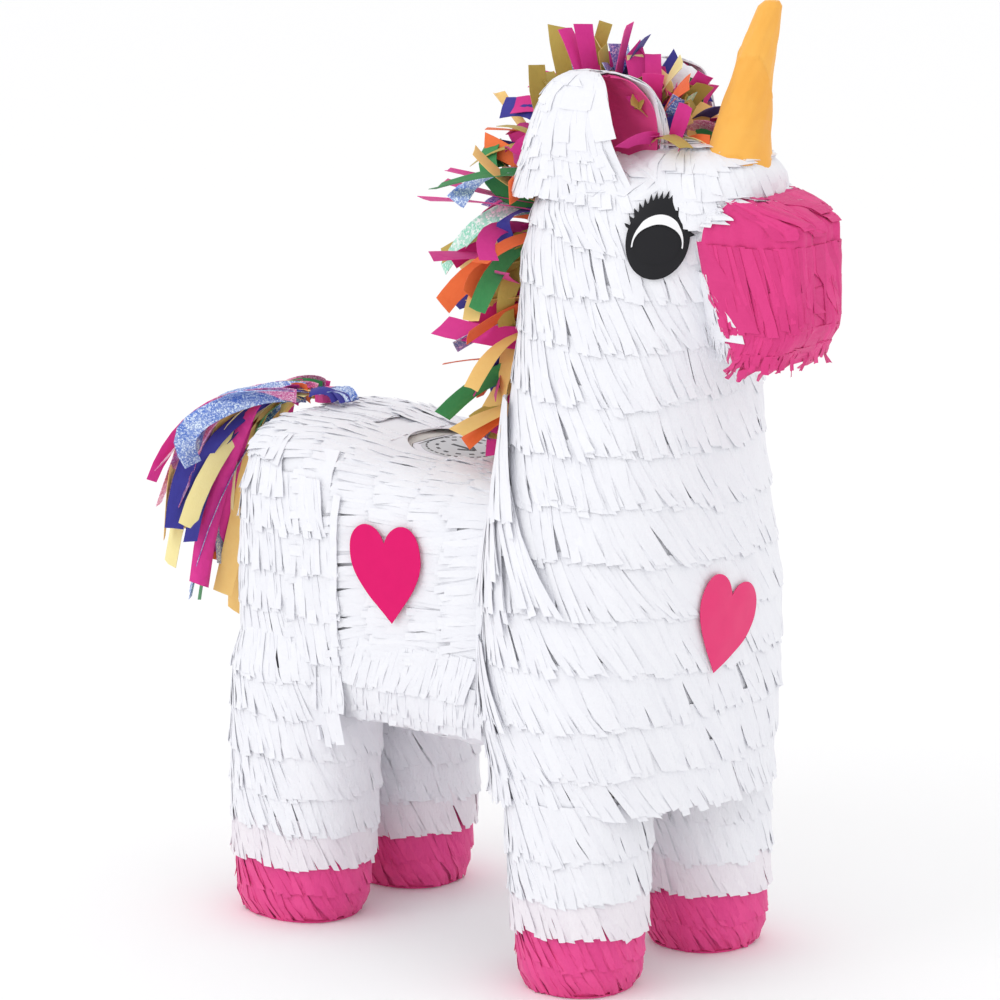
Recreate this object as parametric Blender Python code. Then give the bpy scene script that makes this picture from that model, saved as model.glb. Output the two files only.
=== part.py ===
"""Standing unicorn pinata: card shells, crepe paper skins, horn, ears, mane, tail, fill flap and hanging ring.

Units are metres. +X points to the muzzle, +Y to the pinata's left, +Z up. The origin is on the floor under
the middle of the whole length.
"""

import math

import bmesh
import bpy
from mathutils import Matrix, Vector

# ---------------------------------------------------------------- driving dimensions
GAP = 0.0003  # space kept between touching pieces
CARD = 0.0020  # card wall
PAPER = 0.0040  # depth of the fringed crepe skin over the card
STICKER = 0.0005  # sticker thickness

TRUNK_FLOOR = 0.120  # underside of the chest
TRUNK_SPLIT = 0.262  # chest tube ends and neck tube starts
NECK_TOP = 0.352  # neck tube ends and head shell starts
BARREL_SPLIT = -0.123  # barrel panels end and rump cap starts
HOOF_TOP = 0.052  # pink paper's upper edge

TRUNK_SIDES = 20
HEAD_SIDES = 20
MUZZLE_SIDES = 16
LEG_SIDES = 16
BARREL_SIDES = 24

# Trunk rings, outside of the paper: height, middle X, half depth, half width.
TRUNK = (
    (0.118, 0.104, 0.0655, 0.0935),
    (0.170, 0.103, 0.0710, 0.0960),
    (0.220, 0.103, 0.0720, 0.0950),
    (0.262, 0.103, 0.0690, 0.0865),
    (0.310, 0.105, 0.0655, 0.0760),
    (0.352, 0.107, 0.0655, 0.0690),
)
# Head rings, outside of the paper: height, middle X, half depth, half width.
HEAD = (
    (0.352, 0.107, 0.0655, 0.0690),
    (0.372, 0.109, 0.0670, 0.0655),
    (0.410, 0.112, 0.0700, 0.0620),
    (0.438, 0.116, 0.0670, 0.0580),
    (0.455, 0.119, 0.0600, 0.0500),
    (0.464, 0.122, 0.0490, 0.0400),
    (0.469, 0.124, 0.0350, 0.0280),
)
# Muzzle sections, outside of the paper: X, lowest, highest, half width.
MUZZLE = (
    (0.150, 0.358, 0.4560, 0.0430),
    (0.182, 0.357, 0.4570, 0.0355),
    (0.205, 0.356, 0.4535, 0.0315),
    (0.220, 0.363, 0.4480, 0.0285),
    (0.233, 0.380, 0.4410, 0.0250),
)
# Barrel sections, outside of the paper: X, lowest, highest, half width.
BARREL = (
    (0.060, 0.119, 0.2770, 0.0720),
    (-0.038, 0.119, 0.2855, 0.0730),
    (-0.088, 0.119, 0.2930, 0.0750),
    (BARREL_SPLIT, 0.120, 0.2930, 0.0740),
    (-0.138, 0.125, 0.2880, 0.0690),
    (-0.147, 0.137, 0.2780, 0.0600),
    (-0.152, 0.160, 0.2560, 0.0430),
)
# Leg rings, outside of the paper: height, centre X, centre |Y|, half depth, half width.
FRONT_LEG = (
    (0.000, 0.112, 0.0563, 0.0310, 0.0310),
    (0.010, 0.112, 0.0563, 0.0362, 0.0362),
    (0.052, 0.111, 0.0558, 0.0385, 0.0385),
    (0.1195, 0.108, 0.0540, 0.0420, 0.0415),
)
HIND_LEG = (
    (0.000, -0.106, 0.0460, 0.0360, 0.0310),
    (0.010, -0.106, 0.0460, 0.0415, 0.0360),
    (0.052, -0.105, 0.0455, 0.0440, 0.0385),
    (0.185, -0.102, 0.0430, 0.0465, 0.0420),
)

HORN_BASE = Vector((0.176, 0.0, 0.464))
HORN_TIP = Vector((0.200, 0.0, 0.560))
HORN_BASE_RADIUS = 0.0185
HORN_TIP_RADIUS = 0.0055

EAR_X = 0.102
EAR_Y = 0.0315
EAR_ROOT = 0.432
EAR_HEIGHT = 0.083
EAR_DEPTH = 0.033
EAR_WIDTH = 0.0180

FLAP_X = -0.022  # middle of the round fill flap
FLAP_RADIUS = 0.0290
FLAP_HINGE = 0.0250  # fold line behind the flap's middle
FLAP_TILT = math.atan2(0.2855 - 0.2770, 0.098)  # the back slopes down to the neck
LABEL_RADIUS = 0.0240

HANGER_X = 0.104
HANGER_Z = 0.4760
RING_RADIUS = 0.0080
RING_WIRE = 0.0009
RING_LEAN = math.radians(108)  # the ring has dropped back from upright

TAIL_ROOT = Vector((-0.136, 0.0, 0.2975))


# ---------------------------------------------------------------- scene and materials
def clear_scene():
    for obj in list(bpy.data.objects):
        bpy.data.objects.remove(obj, do_unlink=True)


def material(name, colour, roughness, metallic=0.0):
    made = bpy.data.materials.new(name)
    made.use_nodes = True
    shader = made.node_tree.nodes["Principled BSDF"]
    shader.inputs["Base Color"].default_value = (*colour, 1.0)
    shader.inputs["Roughness"].default_value = roughness
    shader.inputs["Metallic"].default_value = metallic
    return made


def make_materials():
    return {
        "card": material("grey_card", (0.42, 0.34, 0.25), 0.9),
        "white": material("white_crepe", (0.90, 0.90, 0.93), 0.75),
        "pink": material("pink_crepe", (0.80, 0.09, 0.30), 0.75),
        "gold": material("gold_tissue", (0.92, 0.48, 0.08), 0.7),
        "magenta": material("heart_foil", (0.77, 0.02, 0.19), 0.3),
        "black": material("eye_vinyl", (0.03, 0.03, 0.035), 0.4),
        "label": material("label_paper", (0.72, 0.72, 0.75), 0.6),
        "steel": material("hanger_wire", (0.60, 0.60, 0.62), 0.3, 1.0),
        "streamer": material("streamer_paper", (0.80, 0.12, 0.42), 0.7),
    }


# ---------------------------------------------------------------- outlines
def superellipse(angle, exponent):
    """Unit superellipse point at this angle."""
    c, s = math.cos(angle), math.sin(angle)
    power = 2.0 / exponent
    return math.copysign(abs(c) ** power, c), math.copysign(abs(s) ** power, s)


def between(rows, value):
    """The row at this first value, mixed in a straight line from its two neighbours."""
    for low, high in zip(rows, rows[1:]):
        first, last = sorted((low[0], high[0]))
        if first <= value <= last:
            share = (value - low[0]) / (high[0] - low[0])
            return tuple(a + (b - a) * share for a, b in zip(low, high))
    return rows[-1] if abs(value - rows[-1][0]) < abs(value - rows[0][0]) else rows[0]


def flat_ring(z, x, y, half_x, half_y, exponent, sides):
    """Level superellipse ring."""
    ring = []
    for i in range(sides):
        u, v = superellipse(2 * math.pi * i / sides, exponent)
        ring.append(Vector((x + half_x * u, y + half_y * v, z)))
    return ring


def trunk_ring(z, inset):
    _, x, half_x, half_y = between(TRUNK, z)
    return flat_ring(z, x, 0.0, half_x - inset, half_y - inset, 2.2, TRUNK_SIDES)


def head_rings(inset):
    """The head's level rings, the top ones also lowered, so the wall is as thick there."""
    rings = []
    for level, (z, x, half_x, half_y) in enumerate(HEAD):
        lowered = inset if level >= len(HEAD) - 3 else 0.0
        rings.append(flat_ring(z - lowered, x, 0.0, half_x - inset, half_y - inset, 2.4, HEAD_SIDES))
    return rings


def muzzle_rings(inset):
    """The muzzle's upright sections, the front one moved back by the inset."""
    rings = []
    for x, low, high, half_y in MUZZLE:
        middle, half_z = (low + high) / 2, (high - low) / 2
        place = x - inset if x == MUZZLE[-1][0] else x
        ring = []
        for i in range(MUZZLE_SIDES):
            u, v = superellipse(2 * math.pi * i / MUZZLE_SIDES, 3.6)
            ring.append(Vector((place, (half_y - inset) * u, middle + (half_z - inset) * v)))
        rings.append(ring)
    return rings


def barrel_ring(row, inset, start=0.0, turn=2 * math.pi, steps=BARREL_SIDES, closed=True):
    """Upright ring across the barrel, or the stretch of it from start through turn."""
    x, low, high, half_y = row
    middle, half_z = (low + high) / 2, (high - low) / 2
    count = steps if closed else steps + 1
    ring = []
    for i in range(count):
        u, v = superellipse(start + turn * i / steps, 4.0)
        ring.append(Vector((x, (half_y - inset) * u, middle + (half_z - inset) * v)))
    return ring


def leg_rings(rows, side, inset, heights):
    rings = []
    for z in heights:
        _, x, y, half_x, half_y = between(rows, z)
        rings.append(flat_ring(z, x, side * y, half_x - inset, half_y - inset, 2.3, LEG_SIDES))
    return rings


def heart_outline(width, height, count=28):
    """Heart in two coordinates, point down, its box centred on zero."""
    points = []
    for i in range(count):
        t = 2 * math.pi * i / count
        across = 16 * math.sin(t) ** 3
        up = 13 * math.cos(t) - 5 * math.cos(2 * t) - 2 * math.cos(3 * t) - math.cos(4 * t)
        points.append((across / 32 * width, (up + 2.5) / 29 * height))
    return points


def eye_outline(width, height, count=24):
    """Oval of the eye sticker."""
    angles = [2 * math.pi * i / count for i in range(count)]
    return [(width / 2 * math.cos(t), height / 2 * math.sin(t)) for t in angles]


# ---------------------------------------------------------------- mesh builders
def add_object(name, points, faces, colour, smooth=True):
    mesh = bpy.data.meshes.new(name)
    mesh.from_pydata([tuple(p) for p in points], [], faces)
    made = bmesh.new()
    made.from_mesh(mesh)
    bmesh.ops.remove_doubles(made, verts=made.verts, dist=1e-6)
    bmesh.ops.recalc_face_normals(made, faces=made.faces)
    made.to_mesh(mesh)
    made.free()
    if smooth:
        mesh.shade_smooth()
        mesh.set_sharp_from_angle(angle=math.radians(40))
    if colour:
        mesh.materials.append(colour)
    obj = bpy.data.objects.new(name, mesh)
    bpy.context.scene.collection.objects.link(obj)
    return obj


def skin_faces(count, levels, start, closed=True):
    """Triangles between successive rings of count points, the first ring starting at point start."""
    faces = []
    for level in range(levels - 1):
        for i in range(count if closed else count - 1):
            a = start + level * count + i
            b = start + level * count + (i + 1) % count
            faces += [(a, b, b + count), (a, b + count, a + count)]
    return faces


def tube(name, outer, inner, colour):
    """Open-ended wall between two stacks of rings."""
    count, levels = len(outer[0]), len(outer)
    points = [p for ring in outer for p in ring] + [p for ring in inner for p in ring]
    base = count * levels
    faces = skin_faces(count, levels, 0) + skin_faces(count, levels, base)
    for level in (0, levels - 1):
        for i in range(count):
            a, b = level * count + i, level * count + (i + 1) % count
            faces.append((a, b, base + b, base + a))
    return add_object(name, points, faces, colour)


def cup(name, outer, inner, colour):
    """Wall open at its first ring and closed by a cap at its last one. Inner may have its own levels."""
    count = len(outer[0])
    points = [p for ring in outer for p in ring] + [p for ring in inner for p in ring]
    base = count * len(outer)
    faces = skin_faces(count, len(outer), 0) + skin_faces(count, len(inner), base)
    for i in range(count):
        faces.append((i, (i + 1) % count, base + (i + 1) % count, base + i))
    for last, middle in ((base - count, outer[-1]), (len(points) - count, inner[-1])):
        centre = sum(middle, Vector()) / count
        points.append(centre)
        hub = len(points) - 1
        faces += [(last + i, last + (i + 1) % count, hub) for i in range(count)]
    return add_object(name, points, faces, colour)


def solid(name, rings, colour):
    """Filled body through a stack of rings, with a flat cap on each end."""
    count, levels = len(rings[0]), len(rings)
    points = [p for ring in rings for p in ring]
    faces = skin_faces(count, levels, 0)
    faces.append(tuple(range(count)))
    faces.append(tuple(range(count * (levels - 1), count * levels)))
    return add_object(name, points, faces, colour)


def sheet(name, outer, inner, colour):
    """Curved plate between two grids of points with the same rows."""
    count, levels = len(outer[0]), len(outer)
    points = [p for row in outer for p in row] + [p for row in inner for p in row]
    base = count * levels
    faces = skin_faces(count, levels, 0, False) + skin_faces(count, levels, base, False)
    for i in range(count - 1):
        for level in (0, levels - 1):
            a = level * count + i
            faces.append((a, a + 1, base + a + 1, base + a))
    for level in range(levels - 1):
        for i in (0, count - 1):
            a = level * count + i
            faces.append((a, a + count, base + a + count, base + a))
    return add_object(name, points, faces, colour)


def prism(name, outline, place, depth, colour=None):
    """Outline in place's X and Y, running depth along its Z."""
    rings = [[place @ Vector((u, v, w)) for u, v in outline] for w in (0.0, depth)]
    return solid(name, rings, colour)


def boolean(obj, cutter, operation):
    """Applies one Boolean and leaves the cutter in place."""
    change = obj.modifiers.new(operation.lower(), "BOOLEAN")
    change.operation = operation
    change.object = cutter
    change.solver = "EXACT"
    bpy.context.view_layer.update()
    graph = bpy.context.evaluated_depsgraph_get()
    mesh = bpy.data.meshes.new_from_object(obj.evaluated_get(graph))
    obj.modifiers.clear()
    obj.data = mesh
    turned = bmesh.new()
    turned.from_mesh(mesh)
    if turned.calc_volume(signed=True) < 0:
        bmesh.ops.reverse_faces(turned, faces=turned.faces)
    turned.to_mesh(mesh)
    turned.free()
    return obj


def drop(*objects):
    for obj in objects:
        bpy.data.objects.remove(obj, do_unlink=True)


def disc_outline(radius, count, cut=None):
    """Circle, or a circle whose -X side is cut straight at -cut."""
    points = [
        (radius * math.cos(2 * math.pi * i / count), radius * math.sin(2 * math.pi * i / count))
        for i in range(count)
    ]
    return points if cut is None else [(max(x, -cut), y) for x, y in points]


# ---------------------------------------------------------------- neck and chest
def trunk_cutter(clearance):
    """The chest and neck's outside as one filled body."""
    heights = (0.105, 0.118, 0.170, 0.220, TRUNK_SPLIT, 0.310, NECK_TOP, 0.380)
    rings = [trunk_ring(min(max(z, 0.118), NECK_TOP), -clearance) for z in heights]
    for ring, z in zip(rings, heights):
        for point in ring:
            point.z = z
    return solid("trunk_cutter", rings, None)


def build_trunk(mats):
    card_out, card_in = PAPER + GAP, PAPER + GAP + CARD
    spans = {
        "chest": (TRUNK_FLOOR, 0.170, 0.220, TRUNK_SPLIT - GAP),
        "neck": (TRUNK_SPLIT, 0.310, NECK_TOP - GAP),
    }
    for part, heights in spans.items():
        tube(
            f"{part}_tube",
            [trunk_ring(z, card_out) for z in heights],
            [trunk_ring(z, card_in) for z in heights],
            mats["card"],
        )
        tube(
            f"{part}_paper",
            [trunk_ring(z, 0.0) for z in heights],
            [trunk_ring(z, PAPER) for z in heights],
            mats["white"],
        )
    floor = [trunk_ring(z, card_out) for z in (TRUNK_FLOOR - GAP - CARD, TRUNK_FLOOR - GAP)]
    for ring, z in zip(floor, (TRUNK_FLOOR - GAP - CARD, TRUNK_FLOOR - GAP)):
        for point in ring:
            point.z = z
    solid("chest_floor", floor, mats["card"])


# ---------------------------------------------------------------- head and muzzle
def head_cutter(clearance):
    return solid("head_cutter", head_rings(-clearance), None)


def build_head(mats):
    layers = (
        ("head_shell", "muzzle_shell", PAPER + GAP, CARD, "card", "card"),
        ("head_paper", "muzzle_paper", 0.0, PAPER, "white", "pink"),
    )
    cutter = head_cutter(GAP)
    for head, muzzle, inset, wall, head_colour, muzzle_colour in layers:
        cup(head, head_rings(inset), head_rings(inset + wall), mats[head_colour])
        nose = cup(muzzle, muzzle_rings(inset), muzzle_rings(inset + wall), mats[muzzle_colour])
        boolean(nose, cutter, "DIFFERENCE")
    drop(cutter)


# ---------------------------------------------------------------- barrel
def barrel_cutter(clearance):
    return solid("barrel_cutter", [barrel_ring(row, -clearance) for row in BARREL], None)


def flap_place():
    """Frame of the flap: its middle on the card's outside, X along the back towards the neck, Z out."""
    _, _, high, _ = between(BARREL, FLAP_X)
    centre = Vector((FLAP_X, 0.0, high - PAPER - GAP))
    return Matrix.Translation(centre) @ Matrix.Rotation(FLAP_TILT, 4, "Y")


def build_barrel(mats):
    panels = {"barrel_side_left": 0, "back_panel": 1, "barrel_side_right": 2, "belly_panel": 3}
    papers = {"side_paper_left": 0, "back_paper": 1, "side_paper_right": 2, "belly_paper": 3}
    rows = [row for row in BARREL if row[0] >= BARREL_SPLIT]
    rows[-1] = (BARREL_SPLIT + GAP, *rows[-1][1:])
    quarter = math.pi / 2
    cutter = trunk_cutter(GAP)
    for names, inset, wall, colour in (
        (panels, PAPER + GAP, CARD, "card"),
        (papers, 0.0, PAPER, "white"),
    ):
        for name, place in names.items():
            start = place * quarter - quarter / 2 + 0.004
            turn = quarter - 0.008
            outer = [barrel_ring(r, inset, start, turn, 6, False) for r in rows]
            inner = [barrel_ring(r, inset + wall, start, turn, 6, False) for r in rows]
            boolean(sheet(name, outer, inner, mats[colour]), cutter, "DIFFERENCE")
    drop(cutter)
    place = flap_place()
    for name, outline in (
        ("back_panel", disc_outline(FLAP_RADIUS + 0.0005, 24, FLAP_HINGE + 0.0005)),
        ("back_paper", disc_outline(FLAP_RADIUS + 0.0045, 24, FLAP_HINGE + 0.0025)),
    ):
        hole = prism("hole", outline, place @ Matrix.Translation((0, 0, -0.01)), 0.02)
        boolean(bpy.data.objects[name], hole, "DIFFERENCE")
        drop(hole)
    rump = [row for row in BARREL if row[0] <= BARREL_SPLIT]
    card_inset = PAPER + GAP
    cup(
        "rump_panel",
        [barrel_ring(row, card_inset) for row in shifted(rump, card_inset)],
        [barrel_ring(row, card_inset + CARD) for row in shifted(rump, card_inset + CARD)],
        mats["card"],
    )
    cup(
        "rump_paper",
        [barrel_ring(row, 0.0) for row in rump],
        [barrel_ring(row, PAPER) for row in shifted(rump, PAPER)],
        mats["white"],
    )


def shifted(rows, inward):
    """Rump rows moved forwards by the wall's depth, the more the closer they are to the end."""
    first, last = rows[0][0], rows[-1][0]
    return [(x + inward * (first - x) / (first - last), *rest) for x, *rest in rows]


def build_flap(mats):
    """Round die-cut flap with a straight fold line, and the label stuck on it."""
    place = flap_place()
    hinge = place @ Vector((-FLAP_HINGE, 0.0, 0.0))
    body = bpy.data.objects.new("flap_axis", None)
    body.location = hinge
    bpy.context.scene.collection.objects.link(body)
    outline = disc_outline(FLAP_RADIUS, 24, FLAP_HINGE)
    flap = prism("fill_flap", outline, place @ Matrix.Translation((0, 0, -CARD)), CARD, mats["card"])
    label = prism(
        "fill_label",
        disc_outline(LABEL_RADIUS, 24),
        place @ Matrix.Translation((0, 0, GAP)),
        STICKER,
        mats["label"],
    )
    bpy.context.view_layer.update()
    for obj in (flap, label):
        hang_on(obj, body)


def hang_on(obj, parent):
    """Parents obj with its mesh left where it is in the world."""
    obj.parent = parent
    obj.matrix_parent_inverse = parent.matrix_world.inverted()


# ---------------------------------------------------------------- legs
def build_leg(name, rows, side, top, mats, cutter):
    card_out, card_in = PAPER + GAP, PAPER + GAP + CARD
    sole = 0.0010  # crepe under the hoof
    disc_top = sole + GAP + CARD
    leg = tube(
        f"leg_tube_{name}",
        leg_rings(rows, side, card_out, (disc_top + GAP, HOOF_TOP, top)),
        leg_rings(rows, side, card_in, (disc_top + GAP, HOOF_TOP, top)),
        mats["card"],
    )
    _, x, y, half_x, half_y = between(rows, sole)
    sole_rings = [
        flat_ring(z, x, side * y, half_x - card_out, half_y - card_out, 2.3, LEG_SIDES)
        for z in (sole + GAP, disc_top)
    ]
    solid(f"sole_disc_{name}", sole_rings, mats["card"])
    sleeve = tube(
        f"leg_paper_{name}",
        leg_rings(rows, side, 0.0, (HOOF_TOP, 0.085, top)),
        leg_rings(rows, side, PAPER, (HOOF_TOP, 0.085, top)),
        mats["white"],
    )
    outer = leg_rings(rows, side, 0.0, (HOOF_TOP - GAP, 0.010, 0.0))
    inner = leg_rings(rows, side, PAPER, (HOOF_TOP - GAP, 0.010, sole))
    cup(f"hoof_paper_{name}", outer, inner, mats["pink"])
    if cutter:
        boolean(leg, cutter, "DIFFERENCE")
        boolean(sleeve, cutter, "DIFFERENCE")


def build_legs(mats):
    top = TRUNK_FLOOR - CARD - 2 * GAP
    cutter = barrel_cutter(GAP)
    for side, word in ((1, "left"), (-1, "right")):
        build_leg(f"front_{word}", FRONT_LEG, side, top, mats, None)
        build_leg(f"hind_{word}", HIND_LEG, side, 0.150, mats, cutter)
    drop(cutter)


# ---------------------------------------------------------------- horn and ears
def horn_rings(inset, low, high):
    """Rings of a cone that flares at its foot and is pinched at its tip."""
    rings = []
    axis = HORN_TIP - HORN_BASE
    for i in range(4):
        share = low + (high - low) * i / 3
        taper = max(share, 0.0) ** 0.85
        radius = HORN_BASE_RADIUS + (HORN_TIP_RADIUS - HORN_BASE_RADIUS) * taper - inset
        centre = HORN_BASE + axis * share
        rings.append(flat_ring(centre.z, centre.x, 0.0, radius, radius, 2.0, 14))
    return rings


def build_horn(mats, cutter):
    wrap = cup("horn_paper", horn_rings(0.0, -0.08, 1.0), horn_rings(0.0008, -0.08, 0.985), mats["gold"])
    cone = cup(
        "horn_cone", horn_rings(0.0011, -0.08, 0.975), horn_rings(0.0026, -0.08, 0.955), mats["card"]
    )
    for obj in (wrap, cone):
        boolean(obj, cutter, "DIFFERENCE")


def ear_grid(side, inset):
    """Cupped leaf open to the front: a C in plan that narrows and closes towards the tip."""
    rows = []
    for j in range(5):
        rise = j / 4
        narrow = math.cos(math.radians(78) * rise**1.6)
        row = []
        for i in range(9):
            around = math.radians(-128 + 256 * i / 8)
            x = EAR_X - (EAR_DEPTH - inset) * narrow * math.cos(around) - 0.004 * rise
            y = side * (EAR_Y + (EAR_WIDTH - inset) * narrow * math.sin(around))
            row.append(Vector((x, y, EAR_ROOT + (EAR_HEIGHT - inset) * math.sin(math.radians(90) * rise))))
        rows.append(row)
    return rows


def build_ears(mats, cutter):
    layers = (
        ("ear_paper", 0.0, 0.0020, "white"),
        ("ear_card", 0.0020 + GAP, 0.0035 + GAP, "card"),
        ("ear_lining", 0.0035 + 2 * GAP, 0.0050 + GAP, "pink"),
    )
    for side, word in ((1, "left"), (-1, "right")):
        for name, outside, inside, colour in layers:
            ear = sheet(
                f"{name}_{word}", ear_grid(side, outside), ear_grid(side, inside), mats[colour]
            )
            boolean(ear, cutter, "DIFFERENCE")


# ---------------------------------------------------------------- stickers
def build_stickers(mats):
    """Each sticker is a thin layer over the paper, cut to its outline."""
    across_x = Matrix(((0, 0, 1, 0), (1, 0, 0, 0), (0, 1, 0, 0), (0, 0, 0, 1)))
    across_y = Matrix(((1, 0, 0, 0), (0, 0, 1, 0), (0, 1, 0, 0), (0, 0, 0, 1)))
    near, far = -GAP, -GAP - STICKER
    heights = (0.150, 0.170, 0.220, TRUNK_SPLIT)
    heart = tube(
        "heart_chest",
        [trunk_ring(z, far) for z in heights],
        [trunk_ring(z, near) for z in heights],
        mats["magenta"],
    )
    place = Matrix.Translation((0.150, 0.0, 0.208)) @ across_x
    cut_out(heart, heart_outline(0.050, 0.053), place, 0.05)
    for side, word in ((1, "left"), (-1, "right")):
        rows = BARREL[:4]
        heart = tube(
            f"heart_{word}",
            [barrel_ring(row, far) for row in rows],
            [barrel_ring(row, near) for row in rows],
            mats["magenta"],
        )
        place = Matrix.Translation((-0.015, 0.03 if side > 0 else -0.09, 0.222)) @ across_y
        cut_out(heart, heart_outline(0.052, 0.055), place, 0.06)
        eye = tube(
            f"eye_{word}",
            head_rings(far)[1:-1],
            head_rings(near)[1:-1],
            mats["black"],
        )
        place = Matrix.Translation((0.156, 0.02 if side > 0 else -0.09, 0.4315)) @ across_y
        cut_out(eye, eye_outline(0.026, 0.048), place, 0.07)


def cut_out(obj, outline, place, depth):
    cutter = prism("outline", outline, place, depth)
    boolean(obj, cutter, "INTERSECT")
    drop(cutter)


# ---------------------------------------------------------------- hanger
def ring_points(centre, across, upward, radius, wire, sides, tube_sides):
    """Torus points and faces: across and upward span the ring's plane."""
    normal = across.cross(upward)
    points, faces = [], []
    for i in range(sides):
        a = 2 * math.pi * i / sides
        out = across * math.cos(a) + upward * math.sin(a)
        for j in range(tube_sides):
            b = 2 * math.pi * j / tube_sides
            points.append(centre + out * (radius + wire * math.cos(b)) + normal * (wire * math.sin(b)))
    for i in range(sides):
        for j in range(tube_sides):
            k, m = (i + 1) % sides, (j + 1) % tube_sides
            faces.append((i * tube_sides + j, k * tube_sides + j, k * tube_sides + m, i * tube_sides + m))
    return points, faces


def build_hanger(mats):
    """Wire ring in an eye whose shank goes through the head's top to a washer inside."""
    forward, left, up = Vector((1, 0, 0)), Vector((0, 1, 0)), Vector((0, 0, 1))
    eye_centre = Vector((HANGER_X, 0.0, HANGER_Z))
    points, faces = ring_points(eye_centre, forward, up, 0.0032, 0.0010, 14, 6)
    eye = add_object("hanger_eye", points, faces, mats["steel"])
    shank_rings = [
        flat_ring(z, HANGER_X, 0.0, radius, radius, 2.0, 12)
        for z, radius in ((0.4552, 0.0060), (0.4562, 0.0060), (0.4563, 0.0012), (0.4735, 0.0012))
    ]
    shank = solid("shank", shank_rings, None)
    boolean(eye, shank, "UNION")
    drop(shank)
    head = bpy.data.objects
    hole = prism(
        "hole", disc_outline(0.0018, 16), Matrix.Translation((HANGER_X, 0, 0.44)), 0.06
    )
    for name in ("head_shell", "head_paper"):
        boolean(head[name], hole, "DIFFERENCE")
    washer = prism(
        "hanger_washer",
        disc_outline(0.0120, 24),
        Matrix.Translation((HANGER_X, 0, 0.4563 + GAP)),
        0.0020,
        mats["card"],
    )
    boolean(washer, hole, "DIFFERENCE")
    drop(hole)
    axis = bpy.data.objects.new("ring_axis", None)
    axis.location = eye_centre
    bpy.context.scene.collection.objects.link(axis)
    back = -forward * math.sin(RING_LEAN) + up * math.cos(RING_LEAN)
    points, faces = ring_points(
        eye_centre + back * RING_RADIUS, left, back, RING_RADIUS, RING_WIRE, 20, 6
    )
    ring = add_object("hanger_ring", points, faces, mats["steel"])
    bpy.context.view_layer.update()
    hang_on(ring, axis)


# ---------------------------------------------------------------- mane and tail
# Crest of the mane, from the forehead over the head to the neck's foot: X, Z, streamers' lean from
# straight up towards the rear in degrees, and their length.
CREST = (
    (0.156, 0.4715, -28, 0.030),
    (0.124, 0.4725, -12, 0.062),
    (0.092, 0.4725, 8, 0.070),
    (0.074, 0.4670, 30, 0.072),
    (0.059, 0.4580, 48, 0.072),
    (0.0475, 0.4450, 64, 0.070),
    (0.0385, 0.410, 76, 0.060),
    (0.0380, 0.370, 80, 0.054),
    (0.0350, 0.338, 82, 0.044),
    (0.0320, 0.302, 86, 0.022),
)


def build_mane(mats):
    """Each side's streamers as one upright plate that stands off the crest, the ring's width apart."""
    for side, word in ((1, "left"), (-1, "right")):
        outer, inner = [], []
        for y in (side * 0.0095, side * 0.0125):
            root, tip = [], []
            for x, z, lean, length in CREST:
                out = Vector((-math.sin(math.radians(lean)), 0.0, math.cos(math.radians(lean))))
                base = Vector((x, y, z))
                root.append(base)
                tip.append(base + out * length)
            outer.append(root)
            inner.append(tip)
        sheet(f"mane_{word}", [outer[0], inner[0]], [outer[1], inner[1]], mats["streamer"])


def build_tail(mats):
    """Streamers as one plume that arches up and back from its taped root, then falls."""
    axis = bpy.data.objects.new("tail_axis", None)
    axis.location = TAIL_ROOT
    bpy.context.scene.collection.objects.link(axis)
    spine = ((-0.139, 0.2985), (-0.160, 0.2965), (-0.184, 0.2790), (-0.203, 0.2500), (-0.216, 0.2150), (-0.222, 0.1760))
    halves = ((0.006, 0.0040), (0.014, 0.0060), (0.022, 0.0080), (0.029, 0.0095), (0.034, 0.0110), (0.030, 0.0110))
    rings = []
    for i, ((x, z), (half_y, half_n)) in enumerate(zip(spine, halves)):
        before, after = spine[max(i - 1, 0)], spine[min(i + 1, len(spine) - 1)]
        along = Vector((after[0] - before[0], 0, after[1] - before[1])).normalized()
        out = along.cross(Vector((0, 1, 0)))
        ring = []
        for k in range(12):
            u, v = superellipse(2 * math.pi * k / 12, 2.6)
            ring.append(Vector((x, -0.22 * (TAIL_ROOT.x - x), z)) + Vector((0, half_y * u, 0)) + out * half_n * v)
        rings.append(ring)
    tail = solid("tail_streamers", rings, mats["streamer"])
    solid(
        "tail_tape",
        [flat_ring(z, TAIL_ROOT.x + 0.0095, 0.0, 0.0050, 0.0075, 2.6, 12) for z in (0.2938, 0.3010)],
        mats["pink"],
    )
    bpy.context.view_layer.update()
    hang_on(tail, axis)


def main():
    clear_scene()
    mats = make_materials()
    build_trunk(mats)
    build_head(mats)
    build_barrel(mats)
    build_flap(mats)
    build_legs(mats)
    cutter = head_cutter(GAP)
    build_horn(mats, cutter)
    build_ears(mats, cutter)
    drop(cutter)
    build_stickers(mats)
    build_hanger(mats)
    build_mane(mats)
    build_tail(mats)


main()
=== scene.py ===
"""Looks of the unicorn pinata: cut paper fringe, streamers, stickers, horn, card and wire.

Every length is in metres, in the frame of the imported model: +X to the muzzle, +Y to the pinata's left.
"""

import logging
import math
from dataclasses import dataclass, field
from enum import Enum
from typing import Callable, Iterable, Optional, Sequence

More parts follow.
